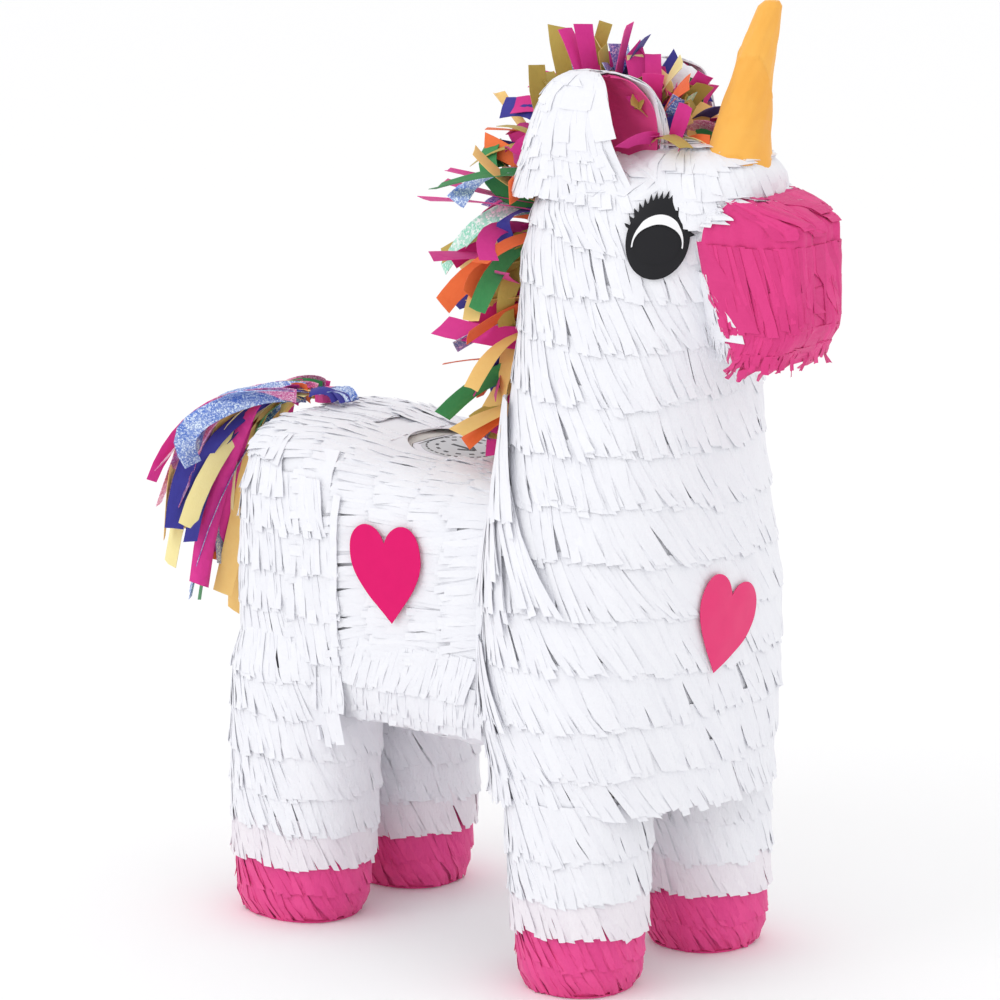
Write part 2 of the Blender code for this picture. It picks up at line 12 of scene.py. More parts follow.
import bmesh
import bpy
import numpy as np
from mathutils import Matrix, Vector

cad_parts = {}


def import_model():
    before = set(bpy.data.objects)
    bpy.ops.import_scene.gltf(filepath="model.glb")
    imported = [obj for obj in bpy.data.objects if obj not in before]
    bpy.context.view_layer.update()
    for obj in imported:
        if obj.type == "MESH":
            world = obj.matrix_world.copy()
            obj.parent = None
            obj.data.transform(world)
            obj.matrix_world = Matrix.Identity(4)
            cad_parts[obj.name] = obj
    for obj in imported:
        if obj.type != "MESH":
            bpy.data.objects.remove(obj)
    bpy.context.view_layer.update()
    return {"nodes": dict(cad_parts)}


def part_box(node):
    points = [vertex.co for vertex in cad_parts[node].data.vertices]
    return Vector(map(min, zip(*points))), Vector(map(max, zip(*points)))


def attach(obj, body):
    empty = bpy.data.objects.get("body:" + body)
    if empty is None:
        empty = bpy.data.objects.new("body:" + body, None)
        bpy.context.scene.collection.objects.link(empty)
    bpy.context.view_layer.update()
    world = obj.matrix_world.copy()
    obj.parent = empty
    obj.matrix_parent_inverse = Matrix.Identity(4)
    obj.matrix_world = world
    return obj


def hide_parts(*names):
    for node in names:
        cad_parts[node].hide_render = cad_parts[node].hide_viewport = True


LOG = logging.getLogger("pinata")
Array = np.ndarray
Test = Callable[[Array], Array]


# ------------------------------------------------------------------ mesh arrays
class Shape:
    """Points, quads, tones and flat coordinates of a piece that is being put together."""

    def __init__(self) -> None:
        """Starts empty."""
        self.points: list[Array] = []
        self.quads: list[Array] = []
        self.tones: list[Array] = []
        self.flats: list[Array] = []
        self.count = 0

    def add(self, points: Array, quads: Array, tones: Array, flats: Array) -> None:
        """Adds one patch.

        Args:
            points: (n, 3) places.
            quads: (m, 4) indices into this patch's points.
            tones: (n,) numbers from 0 to 1 that vary a colour from strip to strip, mixing in the paper's
                painted shade.
            flats: (n, 2) places on the uncut paper, in centimetres.
        """
        self.points.append(points.reshape(-1, 3))
        self.quads.append(quads.reshape(-1, 4) + self.count)
        self.tones.append(np.broadcast_to(tones, points.shape[:-1]).reshape(-1))
        self.flats.append(flats.reshape(-1, 2))
        self.count += self.points[-1].shape[0]

    def build(self, name: str, smooth_angle: float = 50.0) -> bpy.types.Object:
        """Makes the mesh object, welds coincident points and turns every face outwards.

        Args:
            name: the piece's name.
            smooth_angle: edges sharper than this many degrees stay sharp.

        Returns:
            The new object, linked to the scene.
        """
        points = np.concatenate(self.points)
        quads = np.concatenate(self.quads).astype(np.int32)
        tones = np.concatenate(self.tones)
        flats = np.concatenate(self.flats)
        mesh = bpy.data.meshes.new(name)
        mesh.vertices.add(len(points))
        mesh.vertices.foreach_set("co", points.astype(np.float32).ravel())
        mesh.loops.add(quads.size)
        mesh.loops.foreach_set("vertex_index", quads.ravel())
        mesh.polygons.add(len(quads))
        mesh.polygons.foreach_set("loop_start", np.arange(0, quads.size, 4, dtype=np.int32))
        mesh.polygons.foreach_set("loop_total", np.full(len(quads), 4, dtype=np.int32))
        mesh.update(calc_edges=True)
        layer = mesh.uv_layers.new(name="UVMap")
        layer.data.foreach_set("uv", flats[quads.ravel()].astype(np.float32).ravel())
        tone = mesh.attributes.new("tone", "FLOAT", "POINT")
        tone.data.foreach_set("value", tones.astype(np.float32))
        work = bmesh.new()
        work.from_mesh(mesh)
        bmesh.ops.remove_doubles(work, verts=work.verts, dist=1e-6)
        bmesh.ops.recalc_face_normals(work, faces=work.faces)
        work.to_mesh(mesh)
        work.free()
        mesh.shade_smooth()
        mesh.set_sharp_from_angle(angle=math.radians(smooth_angle))
        piece = bpy.data.objects.new(name, mesh)
        bpy.context.scene.collection.objects.link(piece)
        return piece


def unit(vectors: Array) -> Array:
    """Each vector over its own length."""
    return vectors / np.maximum(np.linalg.norm(vectors, axis=-1, keepdims=True), 1e-12)


def grid_quads(rows: int, columns: int, start: int = 0) -> Array:
    """Quads of a grid whose points are counted row by row.

    Args:
        rows: points down the grid.
        columns: points across it.
        start: index of the first point.

    Returns:
        (m, 4) indices.
    """
    i, j = np.meshgrid(np.arange(rows - 1), np.arange(columns - 1), indexing="ij")
    first = start + i * columns + j
    return np.stack([first + columns, first + columns + 1, first + 1, first], axis=-1).reshape(-1, 4)


def ring_of_border(rows: int, columns: int) -> Array:
    """Indices of a grid's border, once round.

    Args:
        rows: points down the grid.
        columns: points across it.

    Returns:
        The indices in order.
    """
    grid = np.arange(rows * columns).reshape(rows, columns)
    return np.concatenate([grid[0, :-1], grid[:-1, -1], grid[-1, :0:-1], grid[:0:-1, 0]])


def leaf_quads(rows: int, columns: int) -> Array:
    """Quads of a closed thin leaf: a top grid, a bottom grid and the rim between them.

    Args:
        rows: points down each grid.
        columns: points across it.

    Returns:
        (m, 4) indices.
    """
    size = rows * columns
    top = grid_quads(rows, columns)
    bottom = grid_quads(rows, columns, size)[:, ::-1]
    edge = ring_of_border(rows, columns)
    after = np.roll(edge, -1)
    rim = np.stack([edge, after, after + size, edge + size], axis=-1)
    return np.concatenate([top, bottom, rim])


def disc_quads(rows: int, columns: int) -> Array:
    """Quads of a closed disc: a top grid of rings from its middle, a bottom grid and the outer rim.

    Args:
        rows: rings, counted from the middle.
        columns: points on each ring.

    Returns:
        (m, 4) indices.
    """
    size = rows * columns
    edge = (rows - 1) * columns + np.arange(columns - 1)
    rim = np.stack([edge, edge + 1, edge + 1 + size, edge + size], axis=-1)
    return np.concatenate([grid_quads(rows, columns), grid_quads(rows, columns, size)[:, ::-1], rim])


def add_leaves(shape: Shape, middle: Array, normal: Array, thickness: float, tones: Array,
               flats: Array) -> None:
    """Adds many thin closed leaves of one grid size: each face is half the thickness off the middle.

    Args:
        shape: what they are added to.
        middle: (n, rows, columns, 3) places of the middle surfaces.
        normal: the same shape, the directions of the thickness.
        thickness: the leaf's thickness.
        tones: (n,) tone of each leaf.
        flats: (n, rows, columns, 2) places on the paper, in centimetres.
    """
    count, rows, columns, _ = middle.shape
    if count == 0:
        return
    both = np.stack([middle + normal * thickness / 2, middle - normal * thickness / 2], axis=1)
    local = leaf_quads(rows, columns)
    size = 2 * rows * columns
    quads = local[None] + (np.arange(count) * size)[:, None, None]
    flat = np.stack([flats, flats], axis=1)
    tone = np.broadcast_to(tones[:, None, None, None], both.shape[:-1])
    shape.add(both, quads, tone, flat)


# ------------------------------------------------------------------ the surfaces that paper is glued to
class Lie(Enum):
    """Which way a stack of rings runs."""

    LEVEL = "rings are level and the stack runs upwards"
    UPRIGHT = "rings stand across the barrel and the stack runs along X"


class RingStack:
    """Stack of superellipse rings, read by its share of the way round and its distance along the stack.

    A point is centre + (half * sign(cos t) * |cos t|^(2/n), half * sign(sin t) * |sin t|^(2/n)), where t is
    looked up so that equal shares of the way round have equal lengths.
    """

    def __init__(self, rows: Sequence[Sequence[float]], exponent: float, lie: Lie) -> None:
        """Takes the rings.

        Args:
            rows: (place along the stack, first centre, second centre, first half, second half) of each.
            exponent: the superellipse's exponent n.
            lie: which way the rings lie.
        """
        data = np.array(rows, dtype=float)
        self.place, self.centre_1, self.centre_2, self.half_1, self.half_2 = data.T
        self.exponent = exponent
        self.lie = lie
        grow = np.diff((self.half_1 + self.half_2) / 2)
        step = np.hypot(np.diff(self.place), grow)
        self.along = self.place[0] + np.concatenate([[0.0], np.cumsum(step)])
        quarter = np.linspace(0, 4, 1441)
        part = quarter % 1.0
        angle = (np.floor(quarter) + part**2 * (3 - 2 * part)) * np.pi / 2
        u, v = self._round(angle)
        wide = len(rows) // 2
        steps = np.hypot(np.diff(u) * self.half_1[wide], np.diff(v) * self.half_2[wide])
        length = np.concatenate([[0.0], np.cumsum(steps)])
        self.table_share = length / length[-1]
        self.table_angle = angle

    def _round(self, angle: Array) -> tuple[Array, Array]:
        """Unit superellipse at these angles."""
        c, s = np.cos(angle), np.sin(angle)
        power = 2.0 / self.exponent
        return np.sign(c) * np.abs(c) ** power, np.sign(s) * np.abs(s) ** power

    def distance(self, place: float) -> float:
        """Distance along the stack's profile of a ring's place."""
        return float(np.interp(place, self.place, self.along))

    def share_at(self, angle: float) -> float:
        """Share of the way round at this angle in degrees."""
        return float(np.interp(math.radians(angle) % (2 * np.pi), self.table_angle, self.table_share))

    def span(self, start: float, stop: float) -> tuple[float, float]:
        """Shares of the way round at two angles in degrees, the second one after the first."""
        first, last = self.share_at(start), self.share_at(stop)
        return first, (last if last > first else last + 1.0)

    def at(self, share: Array, along: Array) -> Array:
        """Points of the surface.

        Args:
            share: shares of the way round.
            along: distances along the stack's profile.

        Returns:
            (..., 3) places.
        """
        share, along = np.broadcast_arrays(share, along)
        u, v = self._round(np.interp(share % 1.0, self.table_share, self.table_angle))
        keep = np.clip(along, self.along[0], self.along[-1])
        place = np.interp(keep, self.along, self.place) + (along - keep)
        first = np.interp(keep, self.along, self.centre_1) + np.interp(keep, self.along, self.half_1) * u
        second = np.interp(keep, self.along, self.centre_2) + np.interp(keep, self.along, self.half_2) * v
        parts = (first, second, place) if self.lie is Lie.LEVEL else (place, first, second)
        return np.stack(parts, axis=-1)

    def core(self, along: Array) -> Array:
        """Points on the stack's middle line."""
        keep = np.clip(along, self.along[0], self.along[-1])
        place = np.interp(keep, self.along, self.place)
        first = np.interp(keep, self.along, self.centre_1)
        second = np.interp(keep, self.along, self.centre_2)
        parts = (first, second, place) if self.lie is Lie.LEVEL else (place, first, second)
        return np.stack(parts, axis=-1)

    def inside(self, points: Array, grow: float = 0.0) -> Array:
        """True for points inside the stack.

        Args:
            points: (..., 3) places.
            grow: how much larger than itself the stack is taken.

        Returns:
            (...) booleans.
        """
        x, y, z = points[..., 0], points[..., 1], points[..., 2]
        place, first, second = (z, x, y) if self.lie is Lie.LEVEL else (x, y, z)
        order = np.argsort(self.place)
        rows = [np.interp(place, self.place[order], column[order]) for column in
                (self.centre_1, self.centre_2, self.half_1, self.half_2)]
        u = np.abs((first - rows[0]) / (rows[2] + grow))
        v = np.abs((second - rows[1]) / (rows[3] + grow))
        within = (place > self.place.min() - grow) & (place < self.place.max() + grow)
        return within & (u**self.exponent + v**self.exponent < 1.0)


class Face:
    """A surface with its outward directions and the length of a step along each of its two parameters."""

    def __init__(self, at: Callable[[Array, Array], Array], core: Callable[[Array], Array],
                 step: float = 1e-3) -> None:
        """Takes the surface.

        Args:
            at: the surface's points as a function of its two parameters.
            core: the middle line that it faces away from, as a function of the second parameter.
            step: half the step of the differences.
        """
        self.at = at
        self.core = core
        self.step = step

    def frame(self, a: Array, b: Array) -> tuple[Array, Array, Array, Array]:
        """Points, outward normals and scales, by central differences.

        Args:
            a: first parameter.
            b: second parameter.

        Returns:
            Points, normals, and metres for each unit of a and of b.
        """
        point = self.at(a, b)
        along_a = (self.at(a + self.step, b) - self.at(a - self.step, b)) / (2 * self.step)
        along_b = (self.at(a, b + self.step) - self.at(a, b - self.step)) / (2 * self.step)
        normal = unit(np.cross(along_a, along_b))
        outward = point - self.core(np.broadcast_to(b, point.shape[:-1]))
        side = np.sign(np.sum(normal * outward, axis=-1, keepdims=True))
        side = np.where(side == 0, 1.0, side)
        size_a = np.maximum(np.linalg.norm(along_a, axis=-1), 1e-4)
        size_b = np.maximum(np.linalg.norm(along_b, axis=-1), 1e-4)
        return point, normal * side, size_a, size_b


def face_of(stack: RingStack) -> Face:
    """The surface of a ring stack."""
    return Face(stack.at, stack.core)


# ------------------------------------------------------------------ cut paper
@dataclass(frozen=True)
class Cut:
    """How a fringe's strips are cut and how they lie."""

    width: float = 0.0058
    overlap: float = 2.2
    base: float = -0.0020
    lift: float = 0.0016
    curl: float = 0.0007
    ruffle: float = 0.00035
    cup: float = 0.0003
    sway: float = 0.0012
    tilt: float = 0.035
    shingle: float = 0.06
    even: float = 0.035
    thickness: float = 0.00025
    steps: int = 6
    columns: int = 2


@dataclass(frozen=True)
class Row:
    """One strip of fringe paper: where it is glued, how long its cuts are and how they lean."""

    root: float
    length: float
    start: float = 0.0
    stop: float = 1.0
    lean: float = 0.0
    heading: float = -1.0
    waviness: float = 0.002


def lay_row(shape: Shape, face: Face, row: Row, cut: Cut, rng: np.random.Generator,
            drop: Optional[Test] = None, press: Optional[Test] = None, clear: Optional[Test] = None) -> None:
    """Cuts one row into strips and lays them on a surface.

    A strip's point at share t of its length and s across its width is the surface point at
    (root + t * length, place + s * width + t * length * tan(lean)), raised by base + lift * t^1.3 plus a tip
    curl, a ruffle along it, a cup across it and a slope across it that tucks each strip under the next.

    Args:
        shape: what the strips are added to.
        face: the surface.
        row: the row.
        cut: the strips' sizes.
        rng: random numbers.
        drop: true for tips of strips that are left out.
        press: for points under a sticker, how far from 0 to 1 the strips are pressed flat.
        clear: true for places where strips are cut short.
    """
    probe = np.linspace(row.start, row.stop, 65)
    line = face.at(probe, np.full(65, row.root))
    total = float(np.linalg.norm(np.diff(line, axis=0), axis=1).sum())
    count = max(int(total / cut.width * cut.overlap), 1)
    place = row.start + (row.stop - row.start) * (np.arange(count) + rng.uniform(-0.4, 0.4, count)) / count
    wave = row.waviness * np.sin(2 * np.pi * (place * 2.3 + rng.uniform()))
    root = row.root + wave + rng.normal(0, 0.0004, count)
    width = cut.width * rng.uniform(0.75, 1.35, count)
    uneven = 1 + 0.03 * np.sin(place * 41 + row.root * 300)
    length = row.length * (1.0 + rng.normal(0, cut.even, count)) * uneven
    lean = row.lean + rng.normal(0, 0.045, count) + 0.09 * np.sin(place * 17 + row.root * 170)
    t = np.linspace(0, 1, cut.steps + 1)[None, :, None]
    s = np.linspace(-0.5, 0.5, cut.columns + 1)[None, None, :]
    _, _, size_a, size_b = face.frame(place, root)
    if clear is not None:
        reach = length[:, None] * np.linspace(0, 1, 21)[None]
        line = face.at(place[:, None] + reach * np.tan(lean)[:, None] / size_a[:, None],
                       root[:, None] + row.heading * reach / size_b[:, None])
        met = clear(line)
        length = length * np.where(met.any(axis=1), met.argmax(axis=1) / 20, 1.0)
        kept = length > 0.2 * row.length
        place, root, width, length, lean = (v[kept] for v in (place, root, width, length, lean))
        size_a, size_b = size_a[kept], size_b[kept]
        count = int(kept.sum())
    phase = rng.uniform(0, 2 * np.pi, (2, count))[:, :, None, None]
    along = length[:, None, None] * t * np.ones_like(s)
    sway = cut.sway * rng.normal(0, 1, count)[:, None, None] * np.sin(np.pi * t * 0.9 + phase[0]) * t
    taper = 1.0 - 0.25 * t**3 * rng.uniform(0, 1, count)[:, None, None]
    slash = rng.normal(0, 0.15, count)[:, None, None] * width[:, None, None] * s * t**4
    across = width[:, None, None] * s * taper + along * np.tan(lean)[:, None, None] + sway
    a = place[:, None, None] + across / size_a[:, None, None]
    b = root[:, None, None] + row.heading * (along + slash) / size_b[:, None, None]
    point, normal, _, _ = face.frame(a, b)
    high = cut.base + rng.uniform(0, 0.0004, count)[:, None, None]
    high = high + cut.lift * rng.uniform(0.8, 1.2, count)[:, None, None] * t**1.3
    high = high + cut.curl * rng.normal(0.1, 1.0, count)[:, None, None] * np.clip(t - 0.6, 0, 1) ** 2 * 5
    waves = rng.uniform(1.0, 2.2, count)[:, None, None]
    high = high + cut.ruffle * np.sin(2 * np.pi * t * waves + phase[1]) * t
    high = high + cut.cup * rng.normal(0, 1, count)[:, None, None] * (1 - (2 * s) ** 2)
    slope = cut.shingle + rng.normal(0, cut.tilt, count)[:, None, None] * t
    high = np.maximum(high + slope * width[:, None, None] * s, cut.base - 0.0009)
    if press is not None:
        flat = press(point)
        high = high * (1 - flat) + np.minimum(high, 0.0002) * flat
    middle = point + normal * high[..., None]
    if drop is not None:
        gone = drop(middle[:, -1, cut.columns // 2]) & drop(middle[:, cut.steps // 2, cut.columns // 2])
        middle, normal = middle[~gone], normal[~gone]
        along, across = along[~gone], across[~gone]
        count = int((~gone).sum())
    shift = rng.uniform(0, 90, (count, 1, 1, 2))
    flats = np.stack([across - across.mean(axis=(1, 2), keepdims=True), along], axis=-1) * 100 + shift
    add_leaves(shape, middle, normal, cut.thickness, rng.uniform(0, 1, count), flats)


def lay_backing(shape: Shape, face: Face, low: float, high: float, start: float = 0.0008,
                stop: float = 0.9992, depth: float = 0.0030, thickness: float = 0.0008, across: int = 72,
                up: int = 24) -> None:
    """Adds the plain paper under a fringe: a closed leaf at a steady depth under the surface.

    Args:
        shape: what it is added to.
        face: the surface.
        low: first place along the stack.
        high: last place along it.
        start: first share of the way round.
        stop: last share of the way round.
        depth: how far under the surface its middle lies.
        thickness: its thickness.
        across: cells round it.
        up: cells along it.
    """
    b, a = np.meshgrid(np.linspace(low, high, up + 1), np.linspace(start, stop, across + 1), indexing="ij")
    point, normal, _, _ = face.frame(a, b)
    middle = (point - normal * depth)[None]
    flats = (np.stack([a * 40, b * 100], axis=-1))[None]
    add_leaves(shape, middle, normal[None], thickness, np.array([0.5]), flats)


# ------------------------------------------------------------------ material helpers
class Nodes:
    """A material's or a group's node tree, with short ways to add and join nodes."""

    def __init__(self, tree: bpy.types.NodeTree) -> None:
        """Takes the tree."""
        self.tree = tree

    def add(self, kind: str, **settings: object) -> bpy.types.Node:
        """Adds a node of this kind and sets its properties."""
        node = self.tree.nodes.new(kind)
        for key, value in settings.items():
            setattr(node, key, value)
        return node

    def join(self, out: bpy.types.NodeSocket, into: bpy.types.NodeSocket) -> None:
        """Links an output to an input."""
        self.tree.links.new(out, into)

    def maths(self, operation: str, first: object, second: object = 0.0) -> bpy.types.NodeSocket:
        """Adds a Math node on two sockets or numbers.

        Args:
            operation: the node's operation.
            first: socket or number.
            second: socket or number.

        Returns:
            The result's socket.
        """
        node = self.add("ShaderNodeMath", operation=operation)
        for socket, value in zip(node.inputs, (first, second)):
            if isinstance(value, (int, float)):
                socket.default_value = value
            else:
                self.join(value, socket)
        return node.outputs[0]

    def mix(self, share: object, first: object, second: object) -> bpy.types.NodeSocket:
        """Adds a colour mix.

        Args:
            share: socket or number from 0 to 1.
            first: colour or socket at 0.
            second: colour or socket at 1.

        Returns:
            The mixed colour's socket.
        """
        node = self.add("ShaderNodeMix", data_type="RGBA")
        for socket, value in ((node.inputs[0], share), (node.inputs[6], first), (node.inputs[7], second)):
            if isinstance(value, bpy.types.NodeSocket):
                self.join(value, socket)
            elif isinstance(value, (int, float)):
                socket.default_value = value
            else:
                socket.default_value = (*value, 1.0)
        return node.outputs[2]

    def relief(self, height: bpy.types.NodeSocket, shader: bpy.types.Node, strength: float,
               distance: float) -> None:
        """Gives a shader small relief.

        Args:
            height: socket of the height.
            shader: the shader.
            strength: share of the relief that shows.
            distance: metres for a height of 1.
        """
        bump = self.add("ShaderNodeBump")
        bump.inputs["Strength"].default_value = strength
        bump.inputs["Distance"].default_value = distance
        self.join(height, bump.inputs["Height"])
        self.join(bump.outputs["Normal"], shader.inputs["Normal"])


def paper_group() -> bpy.types.NodeTree:
    """Group of creases along and across a strip of thin paper, read from its flat coordinates; its Shade
    noise is painted shade in the paper's colour and also varies its roughness.
    """
    found = bpy.data.node_groups.get("paper_creases")
    if found:
        return found
    tree = bpy.data.node_groups.new("paper_creases", "ShaderNodeTree")
    tree.interface.new_socket("Flat", in_out="INPUT", socket_type="NodeSocketVector")
    tree.interface.new_socket("Fineness", in_out="INPUT", socket_type="NodeSocketFloat").default_value = 1.0
    tree.interface.new_socket("Height", in_out="OUTPUT", socket_type="NodeSocketFloat")
    tree.interface.new_socket("Shade", in_out="OUTPUT", socket_type="NodeSocketFloat")
    nodes = Nodes(tree)
    source = nodes.add("NodeGroupInput")
    sink = nodes.add("NodeGroupOutput")
    sized = nodes.add("ShaderNodeVectorMath", operation="SCALE")
    nodes.join(source.outputs["Flat"], sized.inputs[0])
    nodes.join(source.outputs["Fineness"], sized.inputs["Scale"])
    heights = []
    for stretch, scale, detail, rough in (((7.0, 0.9, 1.0), 1.0, 3.0, 0.55), ((0.8, 5.0, 1.0), 1.3, 2.0, 0.5),
                                          ((1.6, 1.1, 1.0), 1.6, 2.0, 0.6)):
        place = nodes.add("ShaderNodeMapping")
        place.inputs["Scale"].default_value = stretch
        noise = nodes.add("ShaderNodeTexNoise")
        noise.inputs["Scale"].default_value = scale
        noise.inputs["Detail"].default_value = detail
        noise.inputs["Roughness"].default_value = rough
        nodes.join(sized.outputs[0], place.inputs["Vector"])
        nodes.join(place.outputs[0], noise.inputs["Vector"])
        heights.append(noise.outputs["Fac"])
    ridge = nodes.maths("ABSOLUTE", nodes.maths("SUBTRACT", heights[2], 0.5))
    wide_folds = nodes.maths("MULTIPLY", heights[0], 0.6)
    small_folds = nodes.maths("MULTIPLY", heights[1], 0.25)
    total = nodes.maths("ADD", wide_folds, small_folds)
    total = nodes.maths("ADD", total, nodes.maths("MULTIPLY", ridge, 1.1))
    nodes.join(total, sink.inputs["Height"])
    nodes.join(heights[2], sink.inputs["Shade"])
    return tree


def new_material(name: str) -> tuple[bpy.types.Material, Nodes, bpy.types.Node]:
    """Makes a material.

    Args:
        name: its name.

    Returns:
        The material, its nodes and its Principled BSDF.
    """
    made = bpy.data.materials.new(name)
    made.use_nodes = True
    nodes = Nodes(made.node_tree)
    return made, nodes, made.node_tree.nodes["Principled BSDF"]


@dataclass(frozen=True)
class PaperFinish:
    """Thin dyed paper: creased, slightly uneven in colour from strip to strip, with a shaded copy of its
    colour mixed in as painted shade.
    """

    name: str
    colour: tuple[float, float, float]
    # The colour as in shadow: painted shade, mixed in by the strip's tone and the crease noise.
    shade: tuple[float, float, float]
    roughness: float = 0.62
    relief: float = 0.35
    sheen: float = 0.1
    fineness: float = 1.0

    def build(self) -> bpy.types.Material:
        """Returns the finish's material."""
        made, nodes, shader = new_material(self.name)
        flat = nodes.add("ShaderNodeUVMap", uv_map="UVMap")
        creases = nodes.add("ShaderNodeGroup", node_tree=paper_group())
        creases.inputs["Fineness"].default_value = self.fineness
        nodes.join(flat.outputs["UV"], creases.inputs["Flat"])
        tone = nodes.add("ShaderNodeAttribute", attribute_name="tone")
        # Painted shade: the share mixes the colour towards its shaded copy, strip by strip and along the
        # crease noise.
        share = nodes.maths("MULTIPLY", tone.outputs["Fac"], 0.55)
        share = nodes.maths("ADD", share, nodes.maths("MULTIPLY", creases.outputs["Shade"], 0.45))
        nodes.join(nodes.mix(share, self.colour, self.shade), shader.inputs["Base Color"])
        rough = nodes.maths("MULTIPLY", creases.outputs["Shade"], 0.16)
        rough = nodes.maths("ADD", rough, self.roughness - 0.08)
        nodes.join(rough, shader.inputs["Roughness"])
        nodes.relief(creases.outputs["Height"], shader, self.relief, 0.0008)
        shader.inputs["Sheen Weight"].default_value = self.sheen
        shader.inputs["Specular IOR Level"].default_value = 0.3
        return made


@dataclass(frozen=True)
class GlitterFinish:
    """Film covered with small flakes, each with its own colour and slant; the pale flakes are partly the
    film's own colour and partly painted glint.
    """

    name: str
    dark: tuple[float, float, float]
    # Pale flake colour: partly the film's own, partly painted glint.
    light: tuple[float, float, float]
    flake: float = 0.0007
    metallic: float = 0.55
    roughness: float = 0.28

    def build(self) -> bpy.types.Material:
        """Returns the finish's material."""
        made, nodes, shader = new_material(self.name)
        place = nodes.add("ShaderNodeTexCoord")
        cells = nodes.add("ShaderNodeTexVoronoi")
        cells.inputs["Scale"].default_value = 1.0 / self.flake
        nodes.join(place.outputs["Object"], cells.inputs["Vector"])
        parts = nodes.add("ShaderNodeSeparateColor")
        nodes.join(cells.outputs["Color"], parts.inputs[0])
        patches = nodes.add("ShaderNodeTexNoise")
        patches.inputs["Scale"].default_value = 90.0
        nodes.join(place.outputs["Object"], patches.inputs["Vector"])
        # Painted glint, in part: pale flakes and pale patches stand for flakes that catch the light.
        share = nodes.maths("ADD", nodes.maths("POWER", parts.outputs[0], 2.2), patches.outputs["Fac"])
        share = nodes.maths("SUBTRACT", share, 0.42)
        clean = nodes.add("ShaderNodeClamp")
        nodes.join(share, clean.inputs[0])
        nodes.join(nodes.mix(clean.outputs[0], self.dark, self.light), shader.inputs["Base Color"])
        nodes.relief(parts.outputs[1], shader, 0.5, 0.0004)
        shader.inputs["Metallic"].default_value = self.metallic
        shader.inputs["Roughness"].default_value = self.roughness
        return made


@dataclass(frozen=True)
class StickerFinish:
    """Printed sticker: even colour with a soft gloss and a little unevenness from the paper beneath."""

    name: str
    colour: tuple[float, float, float]
    roughness: float = 0.38
    relief: float = 0.12
    gloss: float = 0.5

    def build(self) -> bpy.types.Material:
        """Returns the finish's material."""
        made, nodes, shader = new_material(self.name)
        place = nodes.add("ShaderNodeTexCoord")
        soft = nodes.add("ShaderNodeTexNoise")
        soft.inputs["Scale"].default_value = 130.0
        soft.inputs["Detail"].default_value = 2.0
        nodes.join(place.outputs["Object"], soft.inputs["Vector"])
        shader.inputs["Specular IOR Level"].default_value = self.gloss
        dim = tuple(0.93 * c for c in self.colour)
        nodes.join(nodes.mix(soft.outputs["Fac"], self.colour, dim), shader.inputs["Base Color"])
        rough = nodes.maths("MULTIPLY", soft.outputs["Fac"], 0.12)
        nodes.join(nodes.maths("ADD", rough, self.roughness - 0.06), shader.inputs["Roughness"])
        nodes.relief(soft.outputs["Fac"], shader, self.relief, 0.001)
        return made


@dataclass(frozen=True)
class CardFinish:
    """Grey recycled board with fibres and specks."""

    name: str
    colour: tuple[float, float, float]
    speck: tuple[float, float, float]

    def build(self) -> bpy.types.Material:
        """Returns the finish's material."""
        made, nodes, shader = new_material(self.name)
        place = nodes.add("ShaderNodeTexCoord")
        fibres = nodes.add("ShaderNodeTexNoise")
        fibres.inputs["Scale"].default_value = 420.0
        fibres.inputs["Detail"].default_value = 5.0
        clouds = nodes.add("ShaderNodeTexNoise")
        clouds.inputs["Scale"].default_value = 40.0
        for noise in (fibres, clouds):
            nodes.join(place.outputs["Object"], noise.inputs["Vector"])
        mask = nodes.maths("MULTIPLY", fibres.outputs["Fac"], clouds.outputs["Fac"])
        specked = nodes.mix(nodes.maths("MULTIPLY", mask, 1.8), self.colour, self.speck)
        nodes.join(specked, shader.inputs["Base Color"])
        nodes.relief(fibres.outputs["Fac"], shader, 0.25, 0.0004)
        shader.inputs["Roughness"].default_value = 0.85
        return made


@dataclass(frozen=True)
class WireFinish:
    """Drawn steel wire with fine scratches."""

    name: str = "hanger_wire_look"
    colour: tuple[float, float, float] = (0.62, 0.62, 0.64)

    def build(self) -> bpy.types.Material:
        """Returns the finish's material."""
        made, nodes, shader = new_material(self.name)
        place = nodes.add("ShaderNodeTexCoord")
        scratch = nodes.add("ShaderNodeTexNoise")
        scratch.inputs["Scale"].default_value = 900.0
        nodes.join(place.outputs["Object"], scratch.inputs["Vector"])
        dark = tuple(0.8 * c for c in self.colour)
        nodes.join(nodes.mix(scratch.outputs["Fac"], self.colour, dark), shader.inputs["Base Color"])
        nodes.join(nodes.maths("ADD", nodes.maths("MULTIPLY", scratch.outputs["Fac"], 0.2), 0.2),
                   shader.inputs["Roughness"])
        shader.inputs["Metallic"].default_value = 1.0
        return made


# Second colour of each paper finish: its colour in shadow, painted shade.
WHITE = PaperFinish("white_fringe", (0.88, 0.885, 0.925), (0.82, 0.825, 0.875), relief=0.5)
